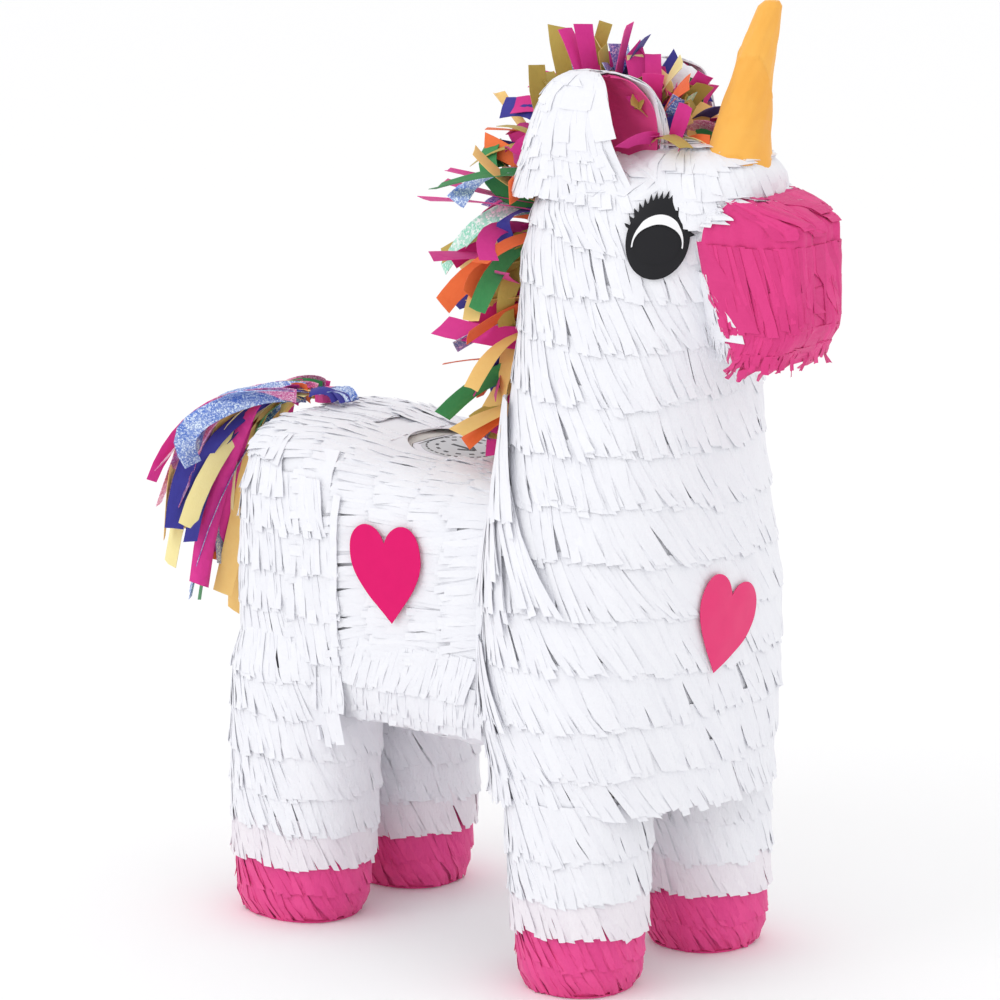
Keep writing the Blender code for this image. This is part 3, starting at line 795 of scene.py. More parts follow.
# Painted shade: the smooth paper is given the white paper's darker lilac colour in shadow.
SHADED_SMOOTH_WHITE = PaperFinish("smooth_white_tissue_painted_shade", (0.83, 0.825, 0.88), (0.76, 0.75, 0.82), relief=0.6,
                           fineness=0.5)
BLUSH = PaperFinish("blush_fringe", (0.87, 0.835, 0.875), (0.80, 0.75, 0.81), relief=0.45)
PINK = PaperFinish("pink_tissue", (0.86, 0.085, 0.31), (0.70, 0.045, 0.235), relief=0.55)
SNOUT = PaperFinish("snout_tissue", (0.80, 0.050, 0.26), (0.60, 0.028, 0.18), relief=0.75)
GOLD = PaperFinish("gold_tissue_wrap", (0.95, 0.52, 0.11), (0.86, 0.38, 0.05), relief=0.8, fineness=0.45)
HEART = StickerFinish("heart_sticker", (0.80, 0.018, 0.165))
SIDE_HEART = StickerFinish("side_heart_sticker", (0.74, 0.006, 0.150), roughness=0.6, gloss=0.15)
BLACK = StickerFinish("eye_black", (0.010, 0.010, 0.013), roughness=0.5, gloss=0.25)
EYE_WHITE = StickerFinish("eye_white", (0.93, 0.93, 0.95))
LABEL = StickerFinish("label_grey", (0.60, 0.61, 0.64), roughness=0.55)
PRINT = StickerFinish("label_print", (0.05, 0.05, 0.06), roughness=0.6)
CARD = CardFinish("card_board", (0.68, 0.66, 0.63), (0.55, 0.53, 0.50))


class Streamer(Enum):
    """The streamers' papers and films."""

    # Second colour of each streamer paper: painted shade.
    MAGENTA = PaperFinish("streamer_magenta", (0.80, 0.045, 0.33), (0.60, 0.02, 0.24), relief=0.3)
    INDIGO = PaperFinish("streamer_indigo", (0.045, 0.045, 0.36), (0.03, 0.025, 0.22), relief=0.3)
    OLIVE = PaperFinish("streamer_olive", (0.56, 0.43, 0.10), (0.42, 0.30, 0.06), relief=0.35)
    ORANGE = PaperFinish("streamer_orange", (0.92, 0.20, 0.05), (0.78, 0.12, 0.03), relief=0.3)
    STRAW = PaperFinish("streamer_straw", (0.93, 0.66, 0.25), (0.88, 0.52, 0.15), relief=0.3)
    GREEN = PaperFinish("streamer_green", (0.06, 0.33, 0.10), (0.03, 0.22, 0.07), relief=0.3)
    CREAM = PaperFinish("streamer_cream", (0.93, 0.83, 0.42), (0.88, 0.74, 0.30), relief=0.3)
    # Pale colours of the glitter and foil films: partly their own colour, partly painted glint.
    BLUE_GLITTER = GlitterFinish("streamer_blue_glitter", (0.10, 0.20, 0.62), (0.80, 0.90, 1.0))
    MINT_FOIL = GlitterFinish("streamer_mint_foil", (0.25, 0.72, 0.52), (0.92, 0.97, 0.95), flake=0.0012)
    ROSE_GLITTER = GlitterFinish("streamer_rose_glitter", (0.70, 0.10, 0.36), (0.98, 0.72, 0.85))


# ------------------------------------------------------------------ putting pieces in the frame
def place_piece(piece: bpy.types.Object, finish: object, body: str,
                stands_for: Iterable[str] = ()) -> bpy.types.Object:
    """Dresses a piece and ties it to the frame.

    Args:
        piece: the piece.
        finish: its finish.
        body: the body it rides on.
        stands_for: the model's nodes that it replaces.

    Returns:
        The piece.
    """
    made = bpy.data.materials.get(finish.name) or finish.build()
    piece.data.materials.clear()
    piece.data.materials.append(made)
    names = list(stands_for)
    if names:
        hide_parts(*names)
    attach(piece, body)
    LOG.info("%s: %d faces", piece.name, len(piece.data.polygons))
    return piece


@dataclass(frozen=True)
class Sticker:
    """A flat cut shape pressed over the paper."""

    raised: float = 0.0016
    thickness: float = 0.0004
    rings: int = 12

    def add(self, shape: Shape, face: Face, a: float, b: float, outline: Array, lift: float = 0.0) -> None:
        """Adds the cut shape to a surface.

        Ring k of the grid is the outline shrunk to k / rings towards its middle, moved on to the surface.

        Args:
            shape: what it is added to.
            face: the surface.
            a: the middle's share of the way round.
            b: the middle's place along.
            outline: (n, 2) outline in metres, across and up.
            lift: extra height.
        """
        _, _, size_a, size_b = face.frame(np.array([a]), np.array([b]))
        share = np.linspace(0, 1, self.rings + 1)[:, None]
        closed = np.concatenate([outline, outline[:1]])
        across, up = closed[:, 0][None] * share, closed[:, 1][None] * share
        point, normal, _, _ = face.frame(a + across / size_a[0], b + up / size_b[0])
        wave = 0.0002 * np.sin(across * 260) * np.cos(up * 210)
        middle = point + normal * (self.raised + lift + wave)[..., None]
        flats = np.stack([across, up], axis=-1) * 100
        top, bottom = middle + normal * self.thickness / 2, middle - normal * self.thickness / 2
        rows, columns = middle.shape[:2]
        quads = disc_quads(rows, columns)
        shape.add(np.stack([top, bottom]), quads, np.full((2, rows, columns), 0.5), np.stack([flats, flats]))


def heart_outline(width: float, height: float, count: int = 96) -> Array:
    """Heart with round lobes and nearly straight sides down to its point.

    Each half is two cubic curves: one over the lobe from the notch to the widest place, and one from there
    down to the point.

    Args:
        width: full width.
        height: full height.
        count: points round it.

    Returns:
        (count, 2) outline.
    """
    t = np.linspace(0, 1, count // 4, endpoint=False)[:, None]
    knots = np.array([[0, 0.30], [0.10, 0.56], [0.50, 0.56], [0.50, 0.18],
                      [0.50, -0.08], [0.20, -0.30], [0, -0.5]])
    curve = [(1 - t) ** 3 * k[0] + 3 * t * (1 - t) ** 2 * k[1] + 3 * t**2 * (1 - t) * k[2] + t**3 * k[3]
             for k in (knots[:4], knots[3:])]
    right = np.concatenate([*curve, knots[-1:]])
    left = right[-2:0:-1] * np.array([-1.0, 1.0])
    return np.concatenate([right, left]) * np.array([width, height])


def turned(outline: Array, angle: float) -> Array:
    """Outline turned anticlockwise.

    Args:
        outline: (n, 2) places.
        angle: degrees.

    Returns:
        (n, 2) places.
    """
    c, s = math.cos(math.radians(angle)), math.sin(math.radians(angle))
    return outline @ np.array([[c, s], [-s, c]])


# ------------------------------------------------------------------ trunk, head and barrel
TRUNK_ROWS = (
    (0.118, 0.104, 0.0, 0.0655, 0.0935),
    (0.145, 0.103, 0.0, 0.0695, 0.0952),
    (0.170, 0.103, 0.0, 0.0710, 0.0960),
    (0.220, 0.103, 0.0, 0.0720, 0.0950),
    (0.262, 0.103, 0.0, 0.0690, 0.0865),
    (0.310, 0.105, 0.0, 0.0655, 0.0760),
    (0.352, 0.107, 0.0, 0.0655, 0.0690),
    (0.372, 0.109, 0.0, 0.0670, 0.0655),
    (0.410, 0.112, 0.0, 0.0700, 0.0620),
    (0.438, 0.116, 0.0, 0.0670, 0.0580),
    (0.455, 0.119, 0.0, 0.0600, 0.0500),
    (0.464, 0.122, 0.0, 0.0490, 0.0400),
    (0.469, 0.124, 0.0, 0.0350, 0.0280),
    (0.4705, 0.125, 0.0, 0.0180, 0.0140),
    (0.4710, 0.126, 0.0, 0.0004, 0.0004),
)
BROW_ROWS = (
    (0.4400, 0.1480, 0.0, 0.0490, 0.0440),
    (0.4520, 0.1490, 0.0, 0.0500, 0.0420),
    (0.4620, 0.1500, 0.0, 0.0490, 0.0385),
    (0.4690, 0.1510, 0.0, 0.0450, 0.0330),
    (0.4740, 0.1530, 0.0, 0.0370, 0.0260),
    (0.4775, 0.1540, 0.0, 0.0250, 0.0170),
    (0.4790, 0.1540, 0.0, 0.0120, 0.0080),
    (0.4792, 0.1540, 0.0, 0.0004, 0.0004),
)
REAR_ROWS = (
    (0.1180, -0.0800, 0.0, 0.0690, 0.0720),
    (0.1400, -0.0800, 0.0, 0.0715, 0.0745),
    (0.2000, -0.0800, 0.0, 0.0735, 0.0760),
    (0.2500, -0.0800, 0.0, 0.0715, 0.0750),
    (0.2720, -0.0800, 0.0, 0.0670, 0.0700),
    (0.2850, -0.0800, 0.0, 0.0600, 0.0600),
    (0.2920, -0.0800, 0.0, 0.0500, 0.0450),
    (0.2945, -0.0800, 0.0, 0.0350, 0.0300),
    (0.2950, -0.0800, 0.0, 0.0004, 0.0004),
)
BARREL_ROWS = (
    (0.060, 0.0, 0.1980, 0.0720, 0.0790),
    (-0.038, 0.0, 0.20225, 0.0730, 0.08325),
    (-0.088, 0.0, 0.2060, 0.0750, 0.0870),
    (-0.123, 0.0, 0.2065, 0.0740, 0.0865),
    (-0.138, 0.0, 0.2065, 0.0690, 0.0815),
    (-0.147, 0.0, 0.2075, 0.0600, 0.0705),
    (-0.152, 0.0, 0.2080, 0.0430, 0.0480),
)


def near(points: Array, centre: Sequence[float], radius: float) -> Array:
    """How far from 0 to 1 each point is within a radius of a place, with a soft edge.

    Args:
        points: (..., 3) places.
        centre: the place.
        radius: the radius.

    Returns:
        (...) numbers from 0 to 1.
    """
    away = np.linalg.norm(points - np.array(centre), axis=-1)
    return np.clip((radius - away) / (0.25 * radius) + 0.5, 0, 1)


@dataclass
class Trunk:
    """Chest, neck and head under rows of white fringe."""

    strip: float = 0.0375
    lean: float = 0.52
    chest_heart: tuple[float, float, float] = (0.174, 0.0, 0.208)
    eye: tuple[float, float, float] = (0.157, 0.050, 0.432)
    ring: tuple[float, float, float] = (0.108, 0.0, 0.470)
    flap_rows: Sequence[tuple[float, float, float, float, int]] = (
        (0.200, 0.046, 0.105, 0.55, 1), (0.292, 0.074, 0.115, 0.42, 1),
        (0.310, 0.088, 0.100, 0.50, 2), (0.326, 0.062, 0.090, 0.55, 3))
    stack: RingStack = field(init=False)
    barrel: RingStack = field(init=False)

    def __post_init__(self) -> None:
        """Makes the surfaces."""
        self.stack = RingStack(TRUNK_ROWS, 2.3, Lie.LEVEL)
        self.barrel = RingStack(BARREL_ROWS[::-1], 4.0, Lie.UPRIGHT)

    def pressed(self, points: Array) -> Array:
        """Where the chest heart, the eyes and the hanging ring press the fringe flat."""
        flat = np.maximum(near(points, self.chest_heart, 0.036), near(points, self.ring, 0.045))
        x, y, z = self.eye
        eyes = [near(points, (x, side * y, z), 0.032) for side in (-1, 1)]
        return np.maximum(flat, np.maximum(*eyes))

    def lost(self, points: Array) -> Array:
        """Strips that would lie inside the barrel or under the muzzle."""
        muzzle = (points[..., 0] > 0.174) & (np.abs(points[..., 1]) < 0.036) & (points[..., 2] > 0.362)
        return self.barrel.inside(points, -0.002) | (muzzle & (points[..., 2] < 0.452))

    def under_ring(self, points: Array) -> Array:
        """Places on the crown that the hanging ring lies on when it is swung forwards."""
        aside, ahead = np.abs(points[..., 1]), np.abs(points[..., 0] - 0.115)
        return (aside < 0.017) & (ahead < 0.027) & (points[..., 2] > 0.46)

    def fringe(self, low: float, high: float, seed: int, rows: Sequence[float], length: float) -> Shape:
        """Backing and fringe between two heights.

        Args:
            low: lowest height of the backing.
            high: highest height of it.
            seed: seed of the random numbers.
            rows: heights at which rows are glued.
            length: the strips' length.

        Returns:
            The shape.
        """
        rng = np.random.default_rng(seed)
        face = face_of(self.stack)
        shape = Shape()
        lay_backing(shape, face, self.stack.distance(low), self.stack.distance(high), depth=0.0034)
        for height in rows:
            root = self.stack.distance(height)
            row = Row(root, length, lean=self.lean, waviness=0.0022)
            lay_row(shape, face, row, Cut(), rng, self.lost, self.pressed)
        return shape

    def build(self) -> None:
        """Makes the chest, neck and head fringes with the shoulder flaps, the crown and the brow."""
        chest = self.fringe(0.121, 0.262, 11, [0.1440, 0.1650, 0.1940, 0.2240, 0.2540], self.strip)
        self.flaps(chest)
        place_piece(chest.build("chest_fringe"), WHITE, "body", ["chest_paper"])
        neck = self.fringe(0.262, 0.352, 12, [0.2850, 0.3150, 0.3450], self.strip)
        place_piece(neck.build("neck_fringe"), WHITE, "body", ["neck_paper"])
        head = self.fringe(0.352, 0.4705, 13, [0.3750, 0.4050, 0.4330, 0.4550], self.strip)
        self.crown(head)
        self.brow(head)
        place_piece(head.build("head_fringe"), WHITE, "body", ["head_paper"])

    def flaps(self, shape: Shape) -> None:
        """Adds the loose triangular flaps that sweep forwards and down from the neck's rear corners."""
        rng = np.random.default_rng(31)
        face = face_of(self.stack)
        for side in (-1.0, 1.0):
            for height, length, reach, lean, layer in self.flap_rows:
                corner = 0.5 - side * 0.095
                ends = sorted((corner, corner - side * reach * 0.62))
                row = Row(self.stack.distance(height), length, *ends, lean=-side * lean, waviness=0.004)
                cut = Cut(base=-0.0006 + 0.0011 * layer, lift=0.0022, curl=0.0010, even=0.07, steps=9)
                lay_row(shape, face, row, cut, rng, self.lost)

    def crown(self, shape: Shape) -> None:
        """Adds the short strips that lie every way over the head's top."""
        rng = np.random.default_rng(14)
        face = face_of(self.stack)
        top = self.stack.along[-1]
        for back, lean in ((0.046, 0.5), (0.034, -0.5), (0.022, 0.6), (0.010, -0.4)):
            row = Row(top - back, 0.026, lean=lean, heading=-1.0, waviness=0.003)
            cut = Cut(base=-0.0014, lift=0.0010)
            lay_row(shape, face, row, cut, rng, self.lost, self.pressed, self.under_ring)

    def brow(self, shape: Shape) -> None:
        """Adds the rounded front of the head's top, on which the horn stands."""
        rng = np.random.default_rng(16)
        stack = RingStack(BROW_ROWS, 2.3, Lie.LEVEL)
        face = face_of(stack)
        lay_backing(shape, face, stack.along[0], stack.along[-1], depth=0.0030, up=16, across=48)
        for height, length in ((0.455, 0.020), (0.465, 0.022), (0.4735, 0.026), (0.4778, 0.022)):
            row = Row(stack.distance(height), length, -0.30, 0.30, lean=0.35, waviness=0.001)
            cut = Cut(base=-0.0016, lift=0.0020)
            lay_row(shape, face, row, cut, rng, None, self.pressed, self.under_ring)
        row = Row(stack.along[-1] - 0.006, 0.020, lean=-0.4, waviness=0.001)
        lay_row(shape, face, row, Cut(base=-0.0012, lift=0.0020), rng, clear=self.under_ring)


@dataclass
class Barrel:
    """Barrel and rump: columns of strips along the body, rows over the rump, a hem and header tapes."""

    columns: Sequence[float] = (0.0555, 0.0300, 0.0025, -0.0250, -0.0550)
    back_columns: Sequence[float] = (0.0555, 0.0300, 0.0025, -0.0250, -0.0520, -0.0780, -0.1010)
    strip: float = 0.0345
    hole: tuple[float, float] = (-0.0545, 0.0115)
    hole_ring: tuple[float, float] = (0.0326, 0.0450)
    heart: tuple[float, float, float] = (-0.015, 0.073, 0.218)
    flap: tuple[float, float, float] = (-0.0215, 0.0, 0.286)
    flap_clear: float = 0.0335
    rump_rows: Sequence[tuple[float, float]] = (
        (0.1500, 0.036), (0.1700, 0.036), (0.1950, 0.036), (0.2200, 0.036), (0.2450, 0.036),
        (0.2660, 0.034), (0.2820, 0.034), (0.2920, 0.034))
    stack: RingStack = field(init=False)
    trunk: RingStack = field(init=False)

    def __post_init__(self) -> None:
        """Makes the surfaces."""
        self.stack = RingStack(BARREL_ROWS[::-1], 4.0, Lie.UPRIGHT)
        self.trunk = RingStack(TRUNK_ROWS, 2.3, Lie.LEVEL)

    def pressed(self, points: Array) -> Array:
        """Where the side hearts and the fill flap press the fringe flat."""
        x, y, z = self.heart
        hearts = [near(points, (x, side * y, z), 0.044) for side in (-1, 1)]
        return np.maximum(np.maximum(*hearts), near(points, self.flap, 0.062))

    def lost(self, points: Array) -> Array:
        """Strips inside the trunk."""
        return self.trunk.inside(points, -0.001)

    def over_flap(self, points: Array) -> Array:
        """Places over the fill flap."""
        away = np.hypot(points[..., 0] - self.flap[0], points[..., 1])
        return (away < self.flap_clear) & (points[..., 2] > 0.27)

    def sector(self, name: str, start: float, stop: float, seed: int, nodes: Sequence[str]) -> None:
        """Makes the fringe of one part of the way round.

        Args:
            name: the piece's name.
            start: first angle in degrees, from +Y round through up.
            stop: last angle.
            seed: seed of the random numbers.
            nodes: the model's nodes that it replaces.
        """
        rng = np.random.default_rng(seed)
        face = face_of(self.stack)
        first, last = self.stack.span(start, stop)
        shape = Shape()
        self.backing(shape, face, first, last, "back" in name)
        for column in self.back_columns if "back" in name else self.columns:
            row = Row(self.stack.distance(column), self.strip, first, last, lean=0.20, waviness=0.0010)
            cut = Cut(lift=0.0017, width=0.0055, even=0.08, curl=0.0007)
            lay_row(shape, face, row, cut, rng, self.lost, self.pressed, self.over_flap)
        place_piece(shape.build(name), WHITE, "body", nodes)

    def backing(self, shape: Shape, face: Face, first: float, last: float, holed: bool) -> None:
        """Adds the backing, in four pieces and a ring round the fill hole where there is one.

        Args:
            shape: what it is added to.
            face: the barrel's surface.
            first: first share of the way round.
            last: last share.
            holed: whether the fill hole is in it.
        """
        low, high = self.stack.distance(-0.1225), self.stack.distance(0.050)
        if not holed:
            lay_backing(shape, face, low, high, first, last, depth=0.0034)
            return
        hole = [self.stack.distance(v) for v in self.hole]
        middle, half = (first + last) / 2, 0.063
        lay_backing(shape, face, low, hole[0], first, last, depth=0.0034)
        lay_backing(shape, face, hole[1], high - 0.012, first, last, depth=0.0034)
        for edges in ((first, middle - half), (middle + half, last)):
            lay_backing(shape, face, hole[0] + 2e-4, hole[1] - 2e-4, *edges, depth=0.0034)
        out, turn = np.meshgrid(np.linspace(*self.hole_ring, 7), np.linspace(0.002, 6.281, 73), indexing="ij")
        _, _, size_a, _ = face.frame(np.array([middle]), np.array([sum(hole) / 2]))
        place = middle + out * np.sin(turn) / size_a[0]
        point, normal, _, _ = face.frame(place, sum(hole) / 2 + out * np.cos(turn))
        flats = np.stack([out, turn], axis=-1) * 30
        add_leaves(shape, (point - normal * 0.0020)[None], normal[None], 0.0005, np.array([0.5]), flats[None])

    def rump(self) -> None:
        """Makes the rows round the rear end, whose hanging strips cover the seams."""
        shape = Shape()
        rng = np.random.default_rng(25)
        stack = RingStack(REAR_ROWS, 3.6, Lie.LEVEL)
        face = face_of(stack)
        lay_backing(shape, face, stack.distance(0.119), stack.distance(0.285), 0.215, 0.785, depth=0.0038)
        for height, length in self.rump_rows:
            row = Row(stack.distance(height), length, 0.18, 0.82, lean=0.22, waviness=0.0016)
            lay_row(shape, face, row, Cut(), rng, None, self.pressed,
                    lambda p: p[..., 0] > -0.054 - 0.052 * np.clip((p[..., 2] - 0.258) / 0.026, 0, 1))
        place_piece(shape.build("rump_fringe"), WHITE, "body", ["rump_paper"])

    def hem(self) -> None:
        """Makes the short strips that hang over the barrel's lower edges."""
        shape = Shape()
        rng = np.random.default_rng(26)
        for side in (-1.0, 1.0):
            def wall(a: Array, b: Array) -> Array:
                """Point at X = a and height b of the side: the half width falls off below 0.165."""
                a, b = np.broadcast_arrays(a, b)
                fall = np.clip((0.165 - b) / 0.030, 0, 1.3)
                return np.stack([a * 1.0, side * (0.0745 - 0.0070 * fall**2), b * 1.0], axis=-1)

            face = Face(wall, lambda b: np.stack([np.zeros_like(b), np.zeros_like(b), b * 1.0], -1))
            lay_backing(shape, face, 0.132, 0.172, -0.060, 0.048, depth=0.0042)
            for height, length in ((0.150, 0.022), (0.162, 0.024), (0.176, 0.028)):
                row = Row(height, length, -0.062, 0.050, lean=-0.22, waviness=0.004)
                lay_row(shape, face, row, Cut(curl=0.0005, base=-0.0030, lift=0.0016), rng)
        place_piece(shape.build("belly_hem"), WHITE, "body")

    def tape(self) -> None:
        """Makes the smooth paper headers along the columns' glued edges on both sides."""
        face = face_of(self.stack)
        shape = Shape()
        for start, stop, low, high in ((-36.0, 26.0, 0.0500, 0.0590), (154.0, 216.0, 0.0500, 0.0590),
                                       (-30.0, 26.0, -0.0580, -0.0530), (154.0, 210.0, -0.0580, -0.0530)):
            first, last = self.stack.span(start, stop)
            b, a = np.meshgrid(np.linspace(self.stack.distance(low), self.stack.distance(high), 7),
                               np.linspace(first, last, 60), indexing="ij")
            point, normal, _, _ = face.frame(a, b)
            fold = 0.0004 * np.sin(a * 310) * np.sin(b * 400) + 0.0003 * np.sin(a * 77)
            middle = point + normal * (0.0016 + fold)[..., None]
            flats = np.stack([b * 100, a * 45], axis=-1)
            add_leaves(shape, middle[None], normal[None], 0.0003, np.array([0.2]), flats[None])
        place_piece(shape.build("barrel_header"), WHITE, "body")

    def build(self) -> None:
        """Makes every part of the barrel's paper."""
        self.sector("side_fringe_left", -45.0, 45.0, 21, ["side_paper_left"])
        self.sector("back_fringe", 45.0, 135.0, 22, ["back_paper"])
        self.sector("side_fringe_right", 135.0, 225.0, 23, ["side_paper_right"])
        self.sector("belly_fringe", 225.0, 315.0, 24, ["belly_paper"])
        self.rump()
        self.hem()
        self.tape()


# ------------------------------------------------------------------ ribbons
def add_ribbons(shape: Shape, path: Array, facing: Array, width: Array, thickness: float,
                rng: np.random.Generator, twist: float = 0.25, cup: float = 0.12, columns: int = 2) -> None:
    """Adds ribbons along given centre lines.

    The side direction is the path's direction crossed with facing, turned about the path by an angle that
    grows along it; each cross-section is a shallow arc.

    Args:
        shape: what they are added to.
        path: (n, m, 3) centre lines.
        facing: direction or (n, 3) directions that the flat side faces.
        width: (n,) widths.
        thickness: the paper's thickness.
        rng: random numbers.
        twist: spread of the turn along each ribbon, in radians.
        cup: height of the arc as a share of the width.
        columns: cells across.
    """
    count, steps = path.shape[:2]
    tangent = unit(np.gradient(path, axis=1))
    towards = np.broadcast_to(np.asarray(facing, dtype=float).reshape(-1, 1, 3), path.shape)
    side = unit(np.cross(tangent, towards))
    normal = unit(np.cross(side, tangent))
    t = np.linspace(0, 1, steps)[None, :]
    turn = (rng.normal(0, twist, (count, 1)) * t + rng.normal(0, twist * 0.6, (count, 1)))[..., None]
    side, normal = side * np.cos(turn) + normal * np.sin(turn), normal * np.cos(turn) - side * np.sin(turn)
    s = np.linspace(-0.5, 0.5, columns + 1)
    wide = width[:, None] * (1 + 0.06 * np.sin(9 * t + rng.uniform(0, 6, (count, 1))))
    arc = cup * rng.normal(0, 1, (count, 1))
    middle = path[:, :, None] + side[:, :, None] * (wide[..., None] * s)[..., None]
    middle = middle + normal[:, :, None] * ((arc * wide)[..., None] * (1 - 4 * s**2))[..., None]
    skew = rng.normal(0, 0.25, (count, 1, 1)) * (wide[..., None] * s) * (t[..., None] > 0.99)
    middle = middle + tangent[:, :, None] * skew[..., None]
    step = np.linalg.norm(np.diff(path, axis=1), axis=-1)
    run = np.concatenate([np.zeros((count, 1)), np.cumsum(step, 1)], 1)
    flats = np.stack(np.broadcast_arrays(wide[..., None] * s, run[..., None]), axis=-1) * 100
    flats = flats + rng.uniform(0, 90, (count, 1, 1, 2))
    normals = np.broadcast_to(normal[:, :, None], middle.shape)
    add_leaves(shape, middle, normals, thickness, rng.uniform(0, 1, count), flats)


def bezier(p0: Array, p1: Array, p2: Array, p3: Array, steps: int) -> Array:
    """Cubic curves: (1-t)^3 p0 + 3 t (1-t)^2 p1 + 3 t^2 (1-t) p2 + t^3 p3 at equal steps of t.

    Args:
        p0: (n, 3) starts.
        p1: (n, 3) first handles.
        p2: (n, 3) second handles.
        p3: (n, 3) ends.
        steps: places on each curve.

    Returns:
        (n, steps, 3) places.
    """
    t = np.linspace(0, 1, steps)[None, :, None]
    parts = [p[:, None] for p in (p0, p1, p2, p3)]
    return ((1 - t) ** 3 * parts[0] + 3 * t * (1 - t) ** 2 * parts[1]
            + 3 * t**2 * (1 - t) * parts[2] + t**3 * parts[3])


@dataclass
class Mane:
    """Short streamers in many colours, rooted along the crest from the forehead to the neck's foot."""

    crest: Sequence[tuple[float, float, float, float, float]] = (
        (0.139, 0.470, -42.0, 0.046, 30.0), (0.130, 0.471, -30.0, 0.056, 26.0),
        (0.120, 0.471, -18.0, 0.062, 18.0), (0.108, 0.471, -6.0, 0.062, 14.0),
        (0.096, 0.471, 4.0, 0.070, 14.0), (0.084, 0.469, 14.0, 0.078, 16.0),
        (0.073, 0.464, 26.0, 0.080, 20.0), (0.063, 0.456, 40.0, 0.068, 34.0),
        (0.054, 0.445, 54.0, 0.066, 48.0), (0.047, 0.431, 68.0, 0.070, 56.0),
        (0.043, 0.414, 80.0, 0.066, 60.0), (0.041, 0.396, 86.0, 0.058, 60.0),
        (0.040, 0.377, 90.0, 0.055, 60.0), (0.039, 0.357, 94.0, 0.058, 60.0),
        (0.038, 0.337, 96.0, 0.056, 60.0), (0.037, 0.319, 98.0, 0.046, 55.0),
        (0.0365, 0.304, 100.0, 0.032, 50.0),
    )
    each: int = 17

    def build(self) -> None:
        """Makes one piece for each colour; the first also stands for the model's two mane plates."""
        rng = np.random.default_rng(41)
        root, heading, length, width = self.layout(rng)
        kinds = list(Streamer)
        weights = np.array([0.30, 0.11, 0.15, 0.10, 0.09, 0.06, 0.05, 0.07, 0.03, 0.04])
        pick = rng.choice(len(kinds), len(root), p=weights)
        nodes = ["mane_left", "mane_right"]
        for index, kind in enumerate(kinds):
            chosen = pick == index
            if not chosen.any():
                continue
            shape = Shape()
            path = self.curves(root[chosen], heading[chosen], length[chosen], rng)
            facing = unit(np.cross(heading[chosen], rng.normal(0, 1, (int(chosen.sum()), 3)) * [0.4, 0.4, 0.4]
                                   + np.array([0.3, 1.0, 0.0])))
            add_ribbons(shape, path, facing, width[chosen], 0.0003, rng, twist=0.5, cup=0.10)
            piece = shape.build("mane_" + kind.name.lower(), 70.0)
            place_piece(piece, kind.value, "body", nodes)
            nodes = []

    def layout(self, rng: np.random.Generator) -> tuple[Array, Array, Array, Array]:
        """Roots, directions, lengths and widths of every streamer."""
        crest = np.repeat(np.array(self.crest), self.each, axis=0)
        count = len(crest)
        lean = np.radians(crest[:, 2] + rng.normal(0, 14, count))
        spread = rng.uniform(-1, 1, count)
        aside = np.radians(crest[:, 4]) * spread
        level = np.cos(aside)
        heading = np.stack([-np.sin(lean) * level, np.sin(aside), np.cos(lean) * level], axis=-1)
        beside = np.where((crest[:, 0] > 0.07) & (crest[:, 0] < 0.125), 0.005, 0.011)
        root = np.stack([crest[:, 0] + rng.normal(0, 0.004, count), spread * beside,
                         crest[:, 1] + rng.normal(0, 0.003, count)], axis=-1)
        shorter = np.interp(crest[:, 1], [0.44, 0.46], [1.0, 0.82])
        length = rng.uniform(0.60, 1.02, count) * crest[:, 3] * shorter
        width = rng.uniform(0.0080, 0.0125, count)
        return root, unit(heading), length, width

    @staticmethod
    def curves(root: Array, heading: Array, length: Array, rng: np.random.Generator) -> Array:
        """Centre lines that leave along the heading, bend mostly downwards and keep between the ears.

        Args:
            root: (n, 3) roots.
            heading: (n, 3) first directions.
            length: (n,) lengths.
            rng: random numbers.

        Returns:
            (n, 10, 3) places.
        """
        size = length[:, None]
        nape = np.clip((0.450 - root[:, 2:]) / 0.03, 0, 1)
        bend = rng.normal(0, 0.62, root.shape) + np.array([0.0, 0.0, -1.0]) * (0.20 + 0.45 * nape)
        bend[:, 1] *= np.where((root[:, 0] > 0.07) & (root[:, 0] < 0.13), 0.35, 1.0)
        p1 = root + heading * size * 0.40
        p2 = root + unit(heading + 0.5 * bend) * size * 0.72
        p3 = p2 + unit(heading + 2.4 * bend) * size * 0.42
        path = bezier(root - heading * 0.004, p1, p2, p3, 10)
        x, y, z = np.moveaxis(path, -1, 0)
        between = np.clip((0.116 - x) * 100, 0, 1) * np.clip((x - 0.045) * 100, 0, 1)
        between = between * np.clip((z - 0.440) * 100, 0, 1)
        path[..., 1] = y + (0.008 * np.tanh(y / 0.008) - y) * between
        return path


